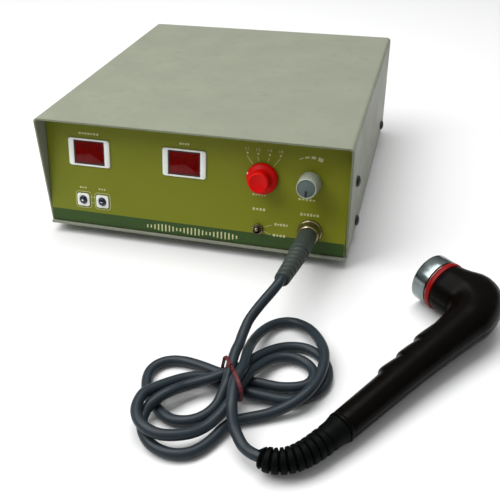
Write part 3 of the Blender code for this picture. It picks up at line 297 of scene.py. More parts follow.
def rounded(centre, width, height, corner, steps=6):
    outline = []
    for quarter, (i, j) in enumerate(((1, 1), (-1, 1), (-1, -1), (1, -1))):
        middle = (centre[0] + i * (width / 2 - corner), centre[1] + j * (height / 2 - corner))
        for k in range(steps + 1):
            turn = (quarter + k / steps) * math.pi / 2
            outline.append((middle[0] + corner * math.cos(turn), middle[1] + corner * math.sin(turn)))
    return outline


def raised(outline, height):
    return [(x, y, height) for x, y in outline]


def loft(rings, closed=False, mesh=None):
    """Skin rings of equal count, with end caps unless the last ring joins the first."""
    mesh = mesh or bmesh.new()
    loops = [[mesh.verts.new(point) for point in ring] for ring in rings]
    pairs = list(zip(loops, loops[1:]))
    if closed:
        pairs.append((loops[-1], loops[0]))
    else:
        mesh.faces.new(loops[0])
        mesh.faces.new(loops[-1])
    for lower, upper in pairs:
        count = len(lower)
        for k in range(count):
            j = (k + 1) % count
            mesh.faces.new((lower[k], lower[j], upper[j], upper[k]))
    return mesh


def turned(profile, segments=48, centre=(0.0, 0.0), closed=False, flute=None):
    """Revolve (radius, height) points. flute(radius, height, angle) may change the radius."""
    mesh = bmesh.new()
    loops = []
    for radius, height in profile:
        if radius == 0:
            loops.append([mesh.verts.new((*centre, height))])
            continue
        ring = []
        for k in range(segments):
            turn = 2 * math.pi * k / segments
            size = flute(radius, height, turn) if flute else radius
            ring.append(mesh.verts.new((centre[0] + size * math.cos(turn),
                                        centre[1] + size * math.sin(turn), height)))
        loops.append(ring)
    pairs = list(zip(loops, loops[1:]))
    if closed:
        pairs.append((loops[-1], loops[0]))
    for lower, upper in pairs:
        for k in range(segments):
            j = (k + 1) % segments
            corners = [lower[k % len(lower)], lower[j % len(lower)],
                       upper[j % len(upper)], upper[k % len(upper)]]
            mesh.faces.new(list(dict.fromkeys(corners)))
    return mesh


def sweep(points, radii, segments=24, side=None):
    """A round tube along a path, capped at both ends. One radius per point, or one for all."""
    path = [Vector(point) for point in points]
    if isinstance(radii, (int, float)):
        radii = [radii] * len(path)
    last = len(path) - 1
    tangents = [(path[min(k + 1, last)] - path[max(k - 1, 0)]) for k in range(len(path))]
    for k, tangent in enumerate(tangents):
        tangents[k] = (tangent if tangent.length > 1e-6 else tangents[k - 1]).normalized()
    side = Vector(side or tangents[0].cross(Vector((0, 0, 1)))).normalized()
    rings = []
    for place, tangent, radius in zip(path, tangents, radii):
        side = (side - tangent * side.dot(tangent)).normalized()
        up = side.cross(tangent)
        rings.append([place + side * a + up * b for a, b in circle((0, 0), radius, segments)])
    return loft(rings)


def facing(direction, place):
    turn = Vector((0, 0, 1)).rotation_difference(Vector(direction)).to_matrix().to_4x4()
    return Matrix.Translation(place) @ turn


def smooth_path(points, step):
    """Catmull-Rom through the points, at even steps."""
    knots = np.array([points[0], *points, points[-1]], float)
    fine = []
    for before, start, end, after in zip(knots, knots[1:], knots[2:], knots[3:]):
        for t in np.arange(10) / 10:
            fine.append(0.5 * (2 * start + (end - before) * t
                               + (2 * before - 5 * start + 4 * end - after) * t * t
                               + (3 * start - before - 3 * end + after) * t ** 3))
    fine = np.array(fine + [knots[-1]])
    along = np.append(0, np.cumsum(np.linalg.norm(np.diff(fine, axis=0), axis=1)))
    even = np.linspace(0, along[-1], int(along[-1] / step) + 1)
    return np.stack([np.interp(even, along, fine[:, k]) for k in range(3)], axis=1)


# ---------------------------------------------------------------- pieces

def piece(name, mesh, paint, matrix, body, replaces=(), bevel=0.0, sharp=35, extra=()):
    """Make a piece from a solid in millimetres in one of the frames, and fix it to its body."""
    bmesh.ops.recalc_face_normals(mesh, faces=mesh.faces)
    mesh.transform(matrix)
    data = bpy.data.meshes.new(name)
    mesh.to_mesh(data)
    mesh.free()
    for key in (paint, *extra):
        data.materials.append(PAINTS[key])
    data.shade_smooth()
    data.set_sharp_from_angle(angle=math.radians(sharp))
    item = bpy.data.objects.new(name, data)
    bpy.context.collection.objects.link(item)
    soften(item, bevel)
    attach(item, body)
    if replaces:
        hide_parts(*replaces)
    return item


def soften(item, width, segments=3):
    """Round every edge sharper than 35 degrees."""
    if not width:
        return
    bevel = item.modifiers.new("soft_edges", "BEVEL")
    bevel.width = width * MM
    bevel.segments = segments
    bevel.limit_method = "ANGLE"
    bevel.angle_limit = math.radians(35)
    bevel.harden_normals = True


def dress(node, paint, bevel=0.0):
    """Finish a CAD node that keeps its own shape."""
    item = frame["nodes"][node]
    item.data.materials.clear()
    item.data.materials.append(PAINTS[paint])
    if bevel:
        weld = item.modifiers.new("weld", "WELD")
        weld.merge_threshold = 0.00002
        soften(item, bevel, 2)


# ---------------------------------------------------------------- case

BEND, SHEET = 3.6, 1.6


def make_cover():
    """The folded cover, its two bends true arcs, its front and back edges in a darker, yellower copy of
    the enamel: painted shade.
    """
    half = (COVER_HIGH.x - COVER_LOW.x) / 2 / MM
    base, top = COVER_LOW.z / MM, COVER_HIGH.z / MM
    depth = (COVER_HIGH.y - COVER_LOW.y) / MM

    def arch(side, ceiling, radius):
        right = [(side - radius + radius * math.sin(t), ceiling - radius + radius * math.cos(t))
                 for t in np.linspace(0, math.pi / 2, 9)]
        return [(-side, base)] + [(-x, z) for x, z in reversed(right)] + right + [(side, base)]
    section = arch(half, top, BEND) + arch(half - SHEET, top - SHEET, BEND - SHEET)[::-1]
    stations = (0.0, 0.5, depth / 3, 2 * depth / 3, depth - 0.5, depth)
    mesh = loft([[(x, y, z) for x, z in section] for y in stations])
    # faces within a millimetre of the front and back take the painted edge shade
    for face in mesh.faces:
        if max(v.co.y for v in face.verts) < 1 or min(v.co.y for v in face.verts) > depth - 1:
            face.material_index = 1
    piece("cover_shell", mesh, "case", CONSOLE, "console", ["top_cover"], 0.3,
          extra=("edge",))


ARM_REACH, ARM_HALF_WIDTH, RECESS_FLOOR = 2.0, 0.5, 1.6


def press_cross(mesh):
    """Sink a cross recess into a crown: every point within the arms drops to the floor."""
    for vert in mesh.verts:
        near, far = sorted((abs(vert.co.x), abs(vert.co.y)))
        if near < ARM_HALF_WIDTH and far < ARM_REACH and vert.co.z > RECESS_FLOOR:
            vert.co.z = RECESS_FLOOR


def make_cover_screws():
    """Domed screws with a cross recess, seated on the cover's sides."""
    profile = [(0, -1.0), (1.9, -1.0), (1.9, 0.3), (4.2, 0.3), (4.25, 0.7), (4.0, 1.5), (3.4, 2.1),
               (2.4, 2.6), (2.1, 2.68), (1.95, 2.7), (1.5, 2.77), (1.2, 2.8), (0.8, 2.83),
               (0.5, 2.84), (0, 2.85)]
    half = (COVER_HIGH.x - COVER_LOW.x) / 2 / MM
    for node in [name for name in frame["nodes"] if name.startswith("cover_screw")]:
        sign = 1 if "right" in node else -1
        centre = node_centre(node, CONSOLE)
        seat = facing((sign, 0, 0), (sign * half, centre.y, centre.z))
        mesh = turned(profile, 48)
        press_cross(mesh)
        name = node.replace("cover_screw", "domed_screw")
        piece(name, mesh, "screw", CONSOLE @ seat, "console", [node])


# ---------------------------------------------------------------- printed panel

INK_LOW, INK_HIGH = 0.02, 0.06


class Print:
    """Thin raised ink shapes on the panel, gathered into one mesh."""

    def __init__(self):
        self.mesh = bmesh.new()

    def shape(self, outline):
        loft([raised(outline, INK_LOW), raised(outline, INK_HIGH)], mesh=self.mesh)

    def bar(self, start, end, width):
        start, end = Vector(start), Vector(end)
        along = (end - start).normalized() * width / 2
        side = Vector((-along.y, along.x))
        self.shape([start - side, end - side, end + side, start + side])

    def dot(self, centre, radius):
        self.shape(circle(centre, radius, 16))

    def outline(self, centre, width, height, corner, line):
        outer = rounded(centre, width, height, corner)
        inner = rounded(centre, width - 2 * line, height - 2 * line, corner - line)
        loft([raised(outer, INK_LOW), raised(outer, INK_HIGH), raised(inner, INK_HIGH),
              raised(inner, INK_LOW)], closed=True, mesh=self.mesh)

    def label(self, centre, length, height, marks):
        """A plain row of short strokes where a caption would be."""
        pitch = length / marks
        for k in range(marks):
            x = centre[0] - length / 2 + (k + 0.5) * pitch
            wide, tall = 0.32 * pitch, height * (1.0, 0.72, 0.9)[k % 3] / 2
            self.shape([(x - wide, centre[1] - tall), (x + wide, centre[1] - tall),
                        (x + wide, centre[1] + tall), (x - wide, centre[1] + tall)])


SCALE_PLACES = (-12.2, -4.2, 4.3, 12.3)   # where the selector's scale marks end, across the panel


def make_stripe():
    """The darker band along the foot of the printed panel."""
    low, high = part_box("front_overlay")
    half = (high.x - low.x) / 2 / MM - 0.3
    outline = [(-half, 2.6), (half, 2.6), (half, 12.3), (-half, 12.3)]
    rings = [raised(outline, 0.005), raised(outline, 0.03)]
    piece("printed_stripe", loft(rings), "stripe", PANEL, "console")


def make_panel_print():
    """Scales, rings and caption strokes round the controls."""
    ink = Print()
    for word, marks in (("time", 7), ("intensity", 4)):
        place = DISPLAYS[word]
        ink.label((place.x, place.y + 14.6), 17.0 if word == "time" else 8.0, 1.6, marks)
    for key in KEYS.values():
        ink.outline(key, 13.3, 13.6, 2.6, 0.35)
        ink.label((key.x, key.y + 9.9), 6.4, 1.3, 3)
    between = (KEYS["up"] + KEYS["down"]) / 2
    for rise in (2.7, -1.9):
        ink.bar((between.x - 1.4, between.y + rise), (between.x + 1.4, between.y + rise), 0.35)
    for across in SCALE_PLACES:
        tip = SELECTOR + Vector((across, 15.6))
        ink.bar(SELECTOR + 12.4 * (tip - SELECTOR).normalized(), tip, 0.45)
        ink.dot(tip + Vector((0.3, 2.1)), 0.75)
    for degrees, wide, long in ((114, 0.7, 3.2), (100, 1.2, 3.2), (86, 1.9, 3.2), (70, 2.7, 3.6)):
        turn = math.radians(degrees)
        ray, side = Vector((math.cos(turn), math.sin(turn))), Vector((math.sin(turn), -math.cos(turn)))
        middle = POWER + ray * 18.4
        ink.bar(middle - side * long / 2, middle + side * long / 2, wide)
    ink.bar(TOGGLE + Vector((4.6, 1.9)), TOGGLE + Vector((10.4, 4.2)), 0.3)
    ink.bar(TOGGLE + Vector((4.6, -1.3)), TOGGLE + Vector((9.4, -3.6)), 0.3)
    ink.label(TOGGLE + Vector((17.4, 5.1)), 10.6, 2.0, 5)
    ink.label(TOGGLE + Vector((16.2, -3.6)), 10.2, 1.9, 4)
    ink.label((SELECTOR.x - 1.8, 31.5), 10.4, 2.1, 4)
    ink.label((POWER.x + 1.2, 31.7), 14.4, 2.2, 6)
    ink.label((SELECTOR.x - 2.0, 42.6), 11.0, 1.3, 5)
    ink.label((POWER.x - 1.6, 43.0), 13.0, 1.5, 5)
    piece("panel_print", ink.mesh, "ink", PANEL, "console")


def make_scale_numbers():
    """Ratio numbers over the selector's four marked positions."""
    for text, across in zip(("1:1", "1:2", "1:4", "1:8"), SCALE_PLACES):
        place = SELECTOR + Vector((across, 19.8))
        curve = bpy.data.curves.new("scale_number", "FONT")
        curve.body = text
        curve.size = 3.0
        curve.extrude = 0.02
        curve.align_x = "CENTER"
        curve.materials.append(PAINTS["ink"])
        label = bpy.data.objects.new(f"scale_number_{text.replace(':', '_to_')}", curve)
        bpy.context.collection.objects.link(label)
        label.matrix_world = PANEL @ Matrix.Translation((place.x, place.y, INK_HIGH / 2 + 0.02))
        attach(label, "console")


def make_wave_print():
    """A generic burst waveform along the stripe, in place of a title."""
    ink = Print()
    count, left, right, middle = 25, -36.0, 36.0, 6.9
    for k in range(count):
        x = left + (right - left) * k / (count - 1)
        swell = 0.9 + 2.0 * abs(math.sin(math.pi * (k - 0.5) / 8))
        ink.bar((x, middle - swell), (x, middle + swell), 1.05)
    piece("stripe_waveform", ink.mesh, "ink", PANEL, "console")


# ---------------------------------------------------------------- displays and keys

def digit_segments(centre, height=12.6, width=6.6, line=1.15, slant=0.12):
    """Seven bars of an unlit digit, each a pointed lozenge."""
    half = height / 2
    places = [((0, half), 0), ((0, 0), 0), ((0, -half), 0)]
    places += [((i * width / 2, j * half / 2), 1) for i in (-1, 1) for j in (-1, 1)]
    mesh = bmesh.new()
    for (x, y), upright in places:
        reach = (half if upright else width) / 2 - 0.25
        bar = [(-reach, 0), (-reach + line / 2, line / 2), (reach - line / 2, line / 2), (reach, 0),
               (reach - line / 2, -line / 2), (-reach + line / 2, -line / 2)]
        if upright:
            bar = [(-b, a) for a, b in bar]
        outline = [(centre[0] + x + a + slant * (y + b), centre[1] + y + b) for a, b in bar]
        loft([raised(outline, -2.88), raised(outline, -2.8)], mesh=mesh)
    return mesh


def make_display(word):
    """Bezel with soft shoulders, red filter, and the module's two unlit digits behind it."""
    place = DISPLAYS[word]
    size, opening = (34.0, 21.4), (25.3, 18.7)
    rings = [raised(rounded(place, size[0] + 2 * d, size[1] + 2 * d, 2.0 + d), n)
             for d, n in ((0, 0.3), (0, 0.7), (-0.15, 0.95), (-0.45, 1.1))]
    rings += [raised(rounded(place, opening[0] + 2 * d, opening[1] + 2 * d, 0.5 + d), n)
              for d, n in ((0.3, 1.1), (0.08, 1.0), (0, 0.8), (0, -2.4))]
    rings.append(raised(rounded(place, opening[0] + 1.0, opening[1] + 1.0, 0.9), -2.4))
    rings.append(raised(rounded(place, opening[0] + 1.0, opening[1] + 1.0, 0.9), 0.3))
    piece(f"{word}_bezel_frame", loft(rings, closed=True), "white", PANEL, "console",
          [f"{word}_display_bezel"])
    # a black frame just inside the bezel, over the filter's edge: painted shadow of the window's recess
    recess_shadow_rings = [raised(rounded(place, *dims, 0.4), n) for dims, n in
              (((25.2, 18.6), -0.9), ((25.2, 18.6), 0.5), ((23.3, 16.7), 0.5), ((23.3, 16.7), -0.9))]
    piece(f"{word}_painted_recess_shadow", loft(recess_shadow_rings, closed=True), "black", PANEL, "console")
    pane = [raised(rounded(place, 24.6 + 2 * d, 18.0 + 2 * d, 0.6), n)
            for d, n in ((0, -1.4), (0, 0.25), (-0.2, 0.4))]
    piece(f"{word}_filter_pane", loft(pane), "filter", PANEL, "console",
          [f"{word}_display_window"])
    for side, shift in (("left", -6.2), ("right", 6.0)):
        mesh = digit_segments((place.x + shift, place.y))
        piece(f"{word}_digit_{side}", mesh, "digit", PANEL, "console")
    dress(f"{word}_display_module", "display")


def make_key(word):
    """White square surround with a round well, and a domed push button with a raised sign."""
    place = KEYS[word]
    rings = [raised(even_square(place, 10.3 + 2 * d, 1.8 + d), n)
             for d, n in ((0, 0.3), (0, 0.6), (-0.3, 0.8))]
    rings += [raised(matched_circle(place, radius, rings[0]), n)
              for radius, n in ((3.6, 0.8), (3.35, 0.65), (3.3, 0.3))]
    piece(f"{word}_key_surround", loft(rings, closed=True), "white", PANEL, "console",
          [f"{word}_button_surround"])
    dome = [(0, -7.9), (1.5, -7.9), (1.5, -3.9), (4.2, -3.9), (4.2, -3.0), (2.9, -3.0), (2.9, 1.5)]
    dome += [(2.9 * math.cos(t), 1.5 + 0.9 * math.sin(t)) for t in np.linspace(0.25, 1.4, 6)]
    dome.append((0, 2.4))
    body = f"{word}_key"
    piece(f"{word}_key_dome", turned(dome, 40, place), "navy", PANEL, body, [f"{word}_button"],
          sharp=50)
    sign = bmesh.new()
    strokes = [((-0.9, 0), (0.9, 0))] + ([((0, -0.9), (0, 0.9))] if word == "up" else [])
    for (x0, s0), (x1, s1) in strokes:
        half = 0.2
        wide, tall = (0, half) if s0 == s1 else (half, 0)
        left, right = place.x + x0 - wide, place.x + x1 + wide
        low, high = place.y + s0 - tall, place.y + s1 + tall
        outline = [(left, low), (right, low), (right, high), (left, high)]
        loft([raised(outline, 2.2), raised(outline, 2.46)], mesh=sign)
    piece(f"{word}_key_sign", sign, "white", PANEL, body)


def even_square(centre, size, corner, count=64):
    """A rounded square with evenly spaced points."""
    loop = rounded(centre, size, size, corner)
    loop = np.array(loop + loop[:1])
    along = np.append(0, np.cumsum(np.hypot(*np.diff(loop, axis=0).T)))
    even = np.linspace(0, along[-1], count, endpoint=False)
    return [tuple(float(np.interp(d, along, loop[:, k])) for k in (0, 1)) for d in even]


def matched_circle(centre, radius, ring):
    """A circle whose points face those of another ring."""
    outline = []
    for x, y, _ in ring:
        turn = math.atan2(y - centre[1], x - centre[0])
        outline.append((centre[0] + radius * math.cos(turn), centre[1] + radius * math.sin(turn)))
    return outline


# ---------------------------------------------------------------- knobs, toggle, socket

def make_selector_knob():
    """Red skirted knob: finely fluted grip, flat cap, white index on the skirt's rim."""
    def flutes(radius, height, turn):
        depth = 0.22 if 5.6 < height < 13.4 else 0.0
        return radius - depth * (0.5 + 0.5 * math.cos(24 * turn))
    profile = [(0, 3.6), (8.6, 3.6), (8.6, 0.8), (11.3, 0.8), (11.7, 1.1), (11.75, 2.0), (11.5, 2.8),
               (10.7, 3.7), (9.4, 4.5), (8.4, 4.9), (7.95, 5.5), (7.75, 6.4), (7.6, 9.5), (7.45, 13.0),
               (7.35, 13.6), (7.0, 14.05), (6.5, 14.2), (6.0, 14.15), (5.6, 14.0), (0, 14.0)]
    piece("mode_knob", turned(profile, 96, SELECTOR, flute=flutes), "knob_red", PANEL, "selector",
          ["selector_knob"], sharp=40)
    turn = math.radians(162)
    ray, side = Vector((math.cos(turn), math.sin(turn))), Vector((-math.sin(turn), math.cos(turn)))
    index = [(10.7, 3.85), (11.3, 3.3), (11.65, 2.85), (11.85, 1.9), (11.85, 1.2)]
    rings = []
    for reach, height in index:
        centre = SELECTOR + ray * reach
        rings.append([(*(centre + side * w), height + h)
                      for w, h in ((-0.55, -0.4), (0.55, -0.4), (0.5, 0.1), (-0.5, 0.1))])
    piece("mode_knob_index", loft(rings), "white", PANEL, "selector", bevel=0.1)


def make_power_knob():
    """Grey tapered knob: splined side, bright rim round a dished face, black pointer."""
    def splines(radius, height, turn):
        depth = 0.28 if 1.6 < height < 14.6 else 0.0
        return radius - depth * (0.5 + 0.5 * math.cos(30 * turn)) ** 2
    side = [(0, 4.6), (6.2, 4.6), (6.2, 0.8), (8.0, 0.8), (8.4, 1.2), (8.4, 1.6), (8.35, 2.2),
            (8.0, 7.0), (7.6, 12.0), (7.4, 14.4), (7.35, 15.0), (7.2, 15.6), (6.9, 15.9), (6.6, 15.9),
            (6.35, 15.6), (6.3, 15.2), (0, 15.2)]
    piece("power_knob_grip", turned(side, 120, POWER, flute=splines), "knob_side", PANEL,
          "power_control", ["power_knob"], sharp=40)
    cap = [(0, 15.22), (6.2, 15.22), (6.25, 15.45), (6.0, 15.62), (0, 15.66)]
    piece("power_knob_cap", turned(cap, 48, POWER), "knob_grey", PANEL, "power_control")
    pointer = Print()
    turn = math.radians(-93)
    ray = Vector((math.cos(turn), math.sin(turn)))
    pointer.bar(POWER + ray * 1.6, POWER + ray * 6.1, 1.6)
    bmesh.ops.translate(pointer.mesh, verts=pointer.mesh.verts, vec=(0, 0, 15.68))
    piece("power_knob_pointer", pointer.mesh, "screw", PANEL, "power_control")


def make_toggle():
    """Dressed round nut with two spanner slots and a polished bat lever."""
    def slots(radius, height, turn):
        return radius - (0.3 if height > 1.2 and abs(math.sin(turn)) < 0.22 else 0.0)
    nut = [(3.05, 0.3), (4.0, 0.3), (4.05, 0.6), (4.05, 1.5), (3.8, 1.9), (3.3, 2.1), (3.05, 2.0)]
    piece("toggle_dress_nut", turned(nut, 48, TOGGLE, True, slots), "nickel", PANEL, "console",
          ["toggle_nut"])
    thread = [(2.45, 1.6)] + [(2.98 - 0.14 * (k % 2), 1.6 + 0.28 * k) for k in range(10)] + [(2.45, 4.3)]
    piece("toggle_bush_thread", turned(thread, 36, TOGGLE, True), "nickel", PANEL, "console")
    lever = [(0, -1.3), (0.9, -1.2), (1.0, 0), (1.0, 2.0), (1.15, 3.1), (1.5, 4.5), (1.45, 5.2),
             (1.1, 5.75), (0.5, 6.0), (0, 6.05)]
    tilt = Matrix.Translation(TOGGLE_PIVOT) @ Matrix.Rotation(math.radians(-14), 4, "X")
    piece("toggle_bat", turned(lever, 28), "nickel", PANEL @ tilt, "toggle", ["toggle_lever"],
          sharp=60)


def make_socket():
    """Round flange with a rolled rim, and the threaded barrel that the coupling ring runs on."""
    flange = [(6.5, -3.0), (6.5, 8.8), (6.7, 9.0), (7.0, 8.9)]
    flange += [(7.3 - 0.22 * (k % 2), 8.7 - 0.4 * k) for k in range(15)]
    flange += [(7.6, 2.5), (8.2, 2.4), (8.7, 2.2), (9.1, 1.8), (9.3, 1.3), (9.3, 0.3), (7.3, 0.3),
               (7.3, -12.0), (6.5, -12.0)]
    piece("socket_shell", turned(flange, 64, SOCKET, True), "nickel", PANEL, "console",
          ["output_socket"])
    base = [(0, -3.2), (6.45, -3.2), (6.45, -2.8), (0, -2.8)]
    piece("socket_insert", turned(base, 40, SOCKET), "black", PANEL, "console")


def make_coupling_ring():
    """Knurled nickel ring that screws on the socket's barrel, with a rounded nose."""
    def knurl(radius, height, turn):
        if radius < 8.2 or not 3.3 < height < 6.6:
            return radius
        return radius - 0.22 * (0.5 + 0.5 * math.cos(40 * turn))
    ring = [(7.75, 2.8), (8.2, 2.8), (8.45, 3.1), (8.6, 3.5), (8.6, 5.0), (8.6, 6.4), (8.4, 6.7),
            (8.35, 7.0), (8.3, 7.6), (8.1, 8.4), (7.8, 9.2), (7.4, 9.9), (6.9, 10.4), (6.45, 10.4),
            (6.45, 9.4), (7.75, 9.3)]
    piece("knurled_ring", turned(ring, 120, SOCKET, True, knurl), "nickel", PANEL, "plug_ring",
          ["coupling_ring"], sharp=45)


# ---------------------------------------------------------------- lead

CABLE_RADIUS, CABLE_MOUTH = 3.2, 4.0
PLUG_BODY_END, PLUG_END = 43.0, 82.0


def ribs(start, end, count, wide, narrow, depth):
    """(distance, radius) pairs of a strain relief: round-topped ribs with narrow grooves."""
    pitch = (end - start) / count
    rows = []
    for k in range(count):
        for step in range(10):
            share = step / 10
            top = wide + (narrow - wide) * (k + share) / count
            groove = max(0.0, math.cos(2 * math.pi * (share - 0.02))) ** 3
            rows.append((start + (k + share) * pitch, top - depth * groove))
    return rows


def plug_axis(n):
    droop = max(0.0, (n - 30.0) / (PLUG_END - 30.0)) ** 2
    return Vector((SOCKET.x - 3.0 * droop, SOCKET.y - 2.6 * droop, n))


def make_plug_boot():
    """Slate moulded boot: smooth grip with a soft shoulder, then seven ribs that droop."""
    rows = [(10.6, 5.4), (10.6, 6.0), (11.0, 6.4), (12.0, 6.65), (18.0, 6.8), (28.0, 6.85), (36.0, 6.7),
            (40.4, 6.6), (41.0, 6.9), (41.6, 7.15), (42.4, 7.1), (42.9, 6.6)]
    rows += ribs(PLUG_BODY_END, PLUG_END, 7, 6.6, 5.0, 1.1) + [(PLUG_END, 4.6), (PLUG_END + 0.3, 3.9)]
    rings = [[plug_axis(n) + Vector((a, b, 0)) for a, b in circle((0, 0), radius, 40)]
             for n, radius in rows]
    piece("slate_plug_boot", loft(rings), "plug", PANEL, "lead", ["plug_boot"], sharp=50)
    dress("plug_insert", "nickel")


def cable_centres():
    """The lead's course: the middles of the CAD tube's rings, walked from its upper, plug end."""
    mesh = bmesh.new()
    mesh.from_mesh(frame["nodes"]["cable"].data)
    bmesh.ops.remove_doubles(mesh, verts=mesh.verts, dist=0.00002)
    mesh.normal_update()
    end = PANEL @ plug_axis(PLUG_END)
    near = [face for face in mesh.faces if (face.calc_center_median() - end).length < 0.006]
    inward = (sum((v.co for v in mesh.verts), Vector()) / len(mesh.verts) - end).normalized()
    cap = max(near, key=lambda face: -face.normal.dot(inward))
    ring = {v for v in mesh.verts if abs((v.co - cap.calc_center_median()).dot(cap.normal)) < 0.00005
            and (v.co - end).length < 0.008}
    seen, centres = set(), []
    while ring:
        seen |= ring
        centres.append(sum((v.co for v in ring), Vector()) / len(ring))
        ring = {edge.other_vert(v) for v in ring for edge in v.link_edges} - seen
    mesh.free()
    return centres


def make_cable():
    """One smooth round cable along the CAD course, reaching into the plug's boot."""
    course = [CONSOLE.inverted() @ centre for centre in cable_centres()]
    inside = CONSOLE.inverted() @ PANEL @ plug_axis(PLUG_END - 6.0)
    path = smooth_path([tuple(inside)] + [tuple(point) for point in course], 1.6)
    piece("coiled_cable", sweep(path, CABLE_RADIUS, 20), "cable", CONSOLE, "lead", ["cable"],
          sharp=60)


def make_tie():
    """Red twist tie: the taut band round the bundle and its two twisted tails."""
    dress("twist_tie", "tie", 0.25)
    low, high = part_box("twist_tie")
    base = spot(CONSOLE, ((low.x + high.x) / 2, (low.y + high.y) / 2, high.z))
    for name, way in (("left", -1), ("right", 1)):
        rows = []
        for k in range(25):
            t = k / 24
            curl = 4 * math.pi * min(1.0, 2 * t)
            coil = 0.6 * min(1.0, (1 - t) * 3)
            rows.append((base.x + way * (0.2 + 4.0 * max(0.0, t - 0.4)) + coil * math.cos(curl + way),
                         base.y - 5.0 * t + coil * 0.5 * math.sin(curl + way),
                         base.z + 0.4 + 0.8 * math.sin(math.pi * t) + coil * math.sin(curl)))
        piece(f"tie_tail_{name}", sweep(rows, 0.45, 10), "tie", CONSOLE, "lead",
              sharp=60)


# ---------------------------------------------------------------- handpiece

HANDLE_HEADING, HEAD_HEADING = math.radians(56.8), math.radians(138.0)
NECK = SWING.to_2d() + Vector((34.8, 30.2))
NECK_RADIUS, BARREL_RADIUS, SEAL_RADIUS = 8.8, 16.6, 17.2
NECK_HEIGHT = NECK_RADIUS + 1.7
HANDLE_LENGTH, HEAD_LENGTH, CORNER_RADIUS = 131.3, 33.8, 19.0
HEAD_RADIUS, HEAD_DEPTH, SEAL_WIDTH = 16.9, 12.2, 3.8
FINGER_STEPS = (42.0, 59.0, 77.0)
ELBOW_BULGE, ELBOW_SHIFT, ELBOW_SPREAD = 7.5, 10.0, 11.0
BOOT_HEADING = math.radians(-7.0)
BEND_ANGLE = HEAD_HEADING - HANDLE_HEADING
STRAIGHT = HANDLE_LENGTH - CORNER_RADIUS * math.tan(BEND_ANGLE / 2)
ARC = CORNER_RADIUS * BEND_ANGLE
REACH = STRAIGHT + ARC + HEAD_LENGTH - CORNER_RADIUS * math.tan(BEND_ANGLE / 2) - SEAL_WIDTH


def handle_station(distance):
    """Place and heading at a distance along the handle's axis from its neck."""
    climb = min(1.0, max(0.0, distance / STRAIGHT))
    rise = NECK_HEIGHT + (SEAL_RADIUS - NECK_HEIGHT) * climb
    ahead = Vector((math.cos(HANDLE_HEADING), math.sin(HANDLE_HEADING), 0))
    place = Vector((*NECK, rise)) + ahead * min(distance, STRAIGHT)
    heading = HANDLE_HEADING
    if distance > STRAIGHT:
        heading += BEND_ANGLE * min(1.0, (distance - STRAIGHT) / ARC)
        centre = place + CORNER_RADIUS * Vector((-ahead.y, ahead.x, 0))
        place = centre + CORNER_RADIUS * Vector((math.sin(heading), -math.cos(heading), 0))
    if distance > STRAIGHT + ARC:
        place += (distance - STRAIGHT - ARC) * Vector((math.cos(heading), math.sin(heading), 0))
    return place, heading


def grip_radius(distance, turn):
    """Handle radius at a distance, and at an angle from the finger side."""
    body = float(np.interp(distance / REACH, (0.0, 0.20, 0.39, 0.56, 0.70, 0.80, 0.90, 1.0),
                           (NECK_RADIUS, 9.4, 10.2, 11.6, 13.2, 15.0, BARREL_RADIUS, BARREL_RADIUS)))
    finger = 0.0
    for step in FINGER_STEPS:
        past = distance - step
        if -3.0 <= past < 18.0:
            climb = min(1.0, (past + 3.0) / 5.0)
            fall = max(0.0, (past - 2.0) / 16.0)
            finger = max(finger, 2.3 * climb * climb * (3 - 2 * climb) * (1 - fall ** 1.5))
    elbow = ELBOW_BULGE * math.exp(-((distance - STRAIGHT - ARC / 2 - ELBOW_SHIFT) / ELBOW_SPREAD) ** 2)
    side = math.cos(turn)
    return body + (finger if side > 0 else elbow) * side ** 2


def make_handle():
    """Two moulded half shells with a fine parting groove, three finger steps and a swept elbow."""
    count, wall = 28, 2.0
    stations = np.unique(np.append(np.linspace(0, REACH, 80), np.linspace(33, 92, 60))).tolist()
    for word, sign in (("upper", 1), ("lower", -1)):
        rings = []
        for distance in stations:
            place, heading = handle_station(distance)
            left = Vector((-math.sin(heading), math.cos(heading), 0))
            up = Vector((0, 0, sign))
            outer, inner = [], []
            for k in range(count + 1):
                turn = math.pi * k / count
                radius = grip_radius(distance, turn)
                edge = min(k, count - k) * math.pi / count * radius
                dip = 0.4 * math.exp(-(edge / 0.9) ** 2)
                if distance < 1.0 or distance > REACH - 1.0:
                    dip += 0.25
                lift = 0.05 if k in (0, count) else 0.0
                for row, size in ((outer, radius - dip), (inner, radius - wall)):
                    row.append(place + left * size * math.cos(turn)
                               + up * (size * math.sin(turn) + lift))
            rings.append(outer + inner[::-1])
        piece(f"grip_shell_{word}", loft(rings), "handle", CONSOLE, "handpiece",
              [f"handle_shell_{word}"], sharp=50)


def boot_axis(t):
    """A gentle curve from the cable's entry to the handle's collar."""
    start = SWING
    place, heading = handle_station(0.0)
    leave = Vector((math.cos(heading), math.sin(heading), 0))
    end = place - 8.5 * leave
    entry = Vector((math.cos(BOOT_HEADING), math.sin(BOOT_HEADING), 0))
    span = (end - start).length
    return (start * (1 - t) ** 3 + (start + entry * span * 0.36) * 3 * t * (1 - t) ** 2
            + (end - leave * span * 0.36) * 3 * t * t * (1 - t) + end * t ** 3)


def make_handle_boot():
    """Black boot: nine deep round ribs, then a smooth sleeve that swells to the collar."""
    rows = [(-0.075, CABLE_MOUTH), (-0.075, 5.4), (-0.055, 6.0)]
    rows += ribs(-0.03, 0.86, 9, 6.6, 7.7, 1.9) + [(0.87, 6.4), (0.89, 7.2), (0.92, 7.6), (1.0, 7.7)]
    path = [boot_axis(t) for t, _ in rows]
    radii = [radius for _, radius in rows]
    place, heading = handle_station(0.0)
    leave = Vector((math.cos(heading), math.sin(heading), 0))
    for back, radius in ((6.0, 7.9), (4.6, 8.3), (3.4, 8.5), (2.9, 8.3)):
        path.append(place - leave * back)
        radii.append(radius)
    piece("ribbed_handle_boot", sweep(path, radii, 40), "boot", CONSOLE, "handpiece", ["handle_boot"],
          sharp=50)


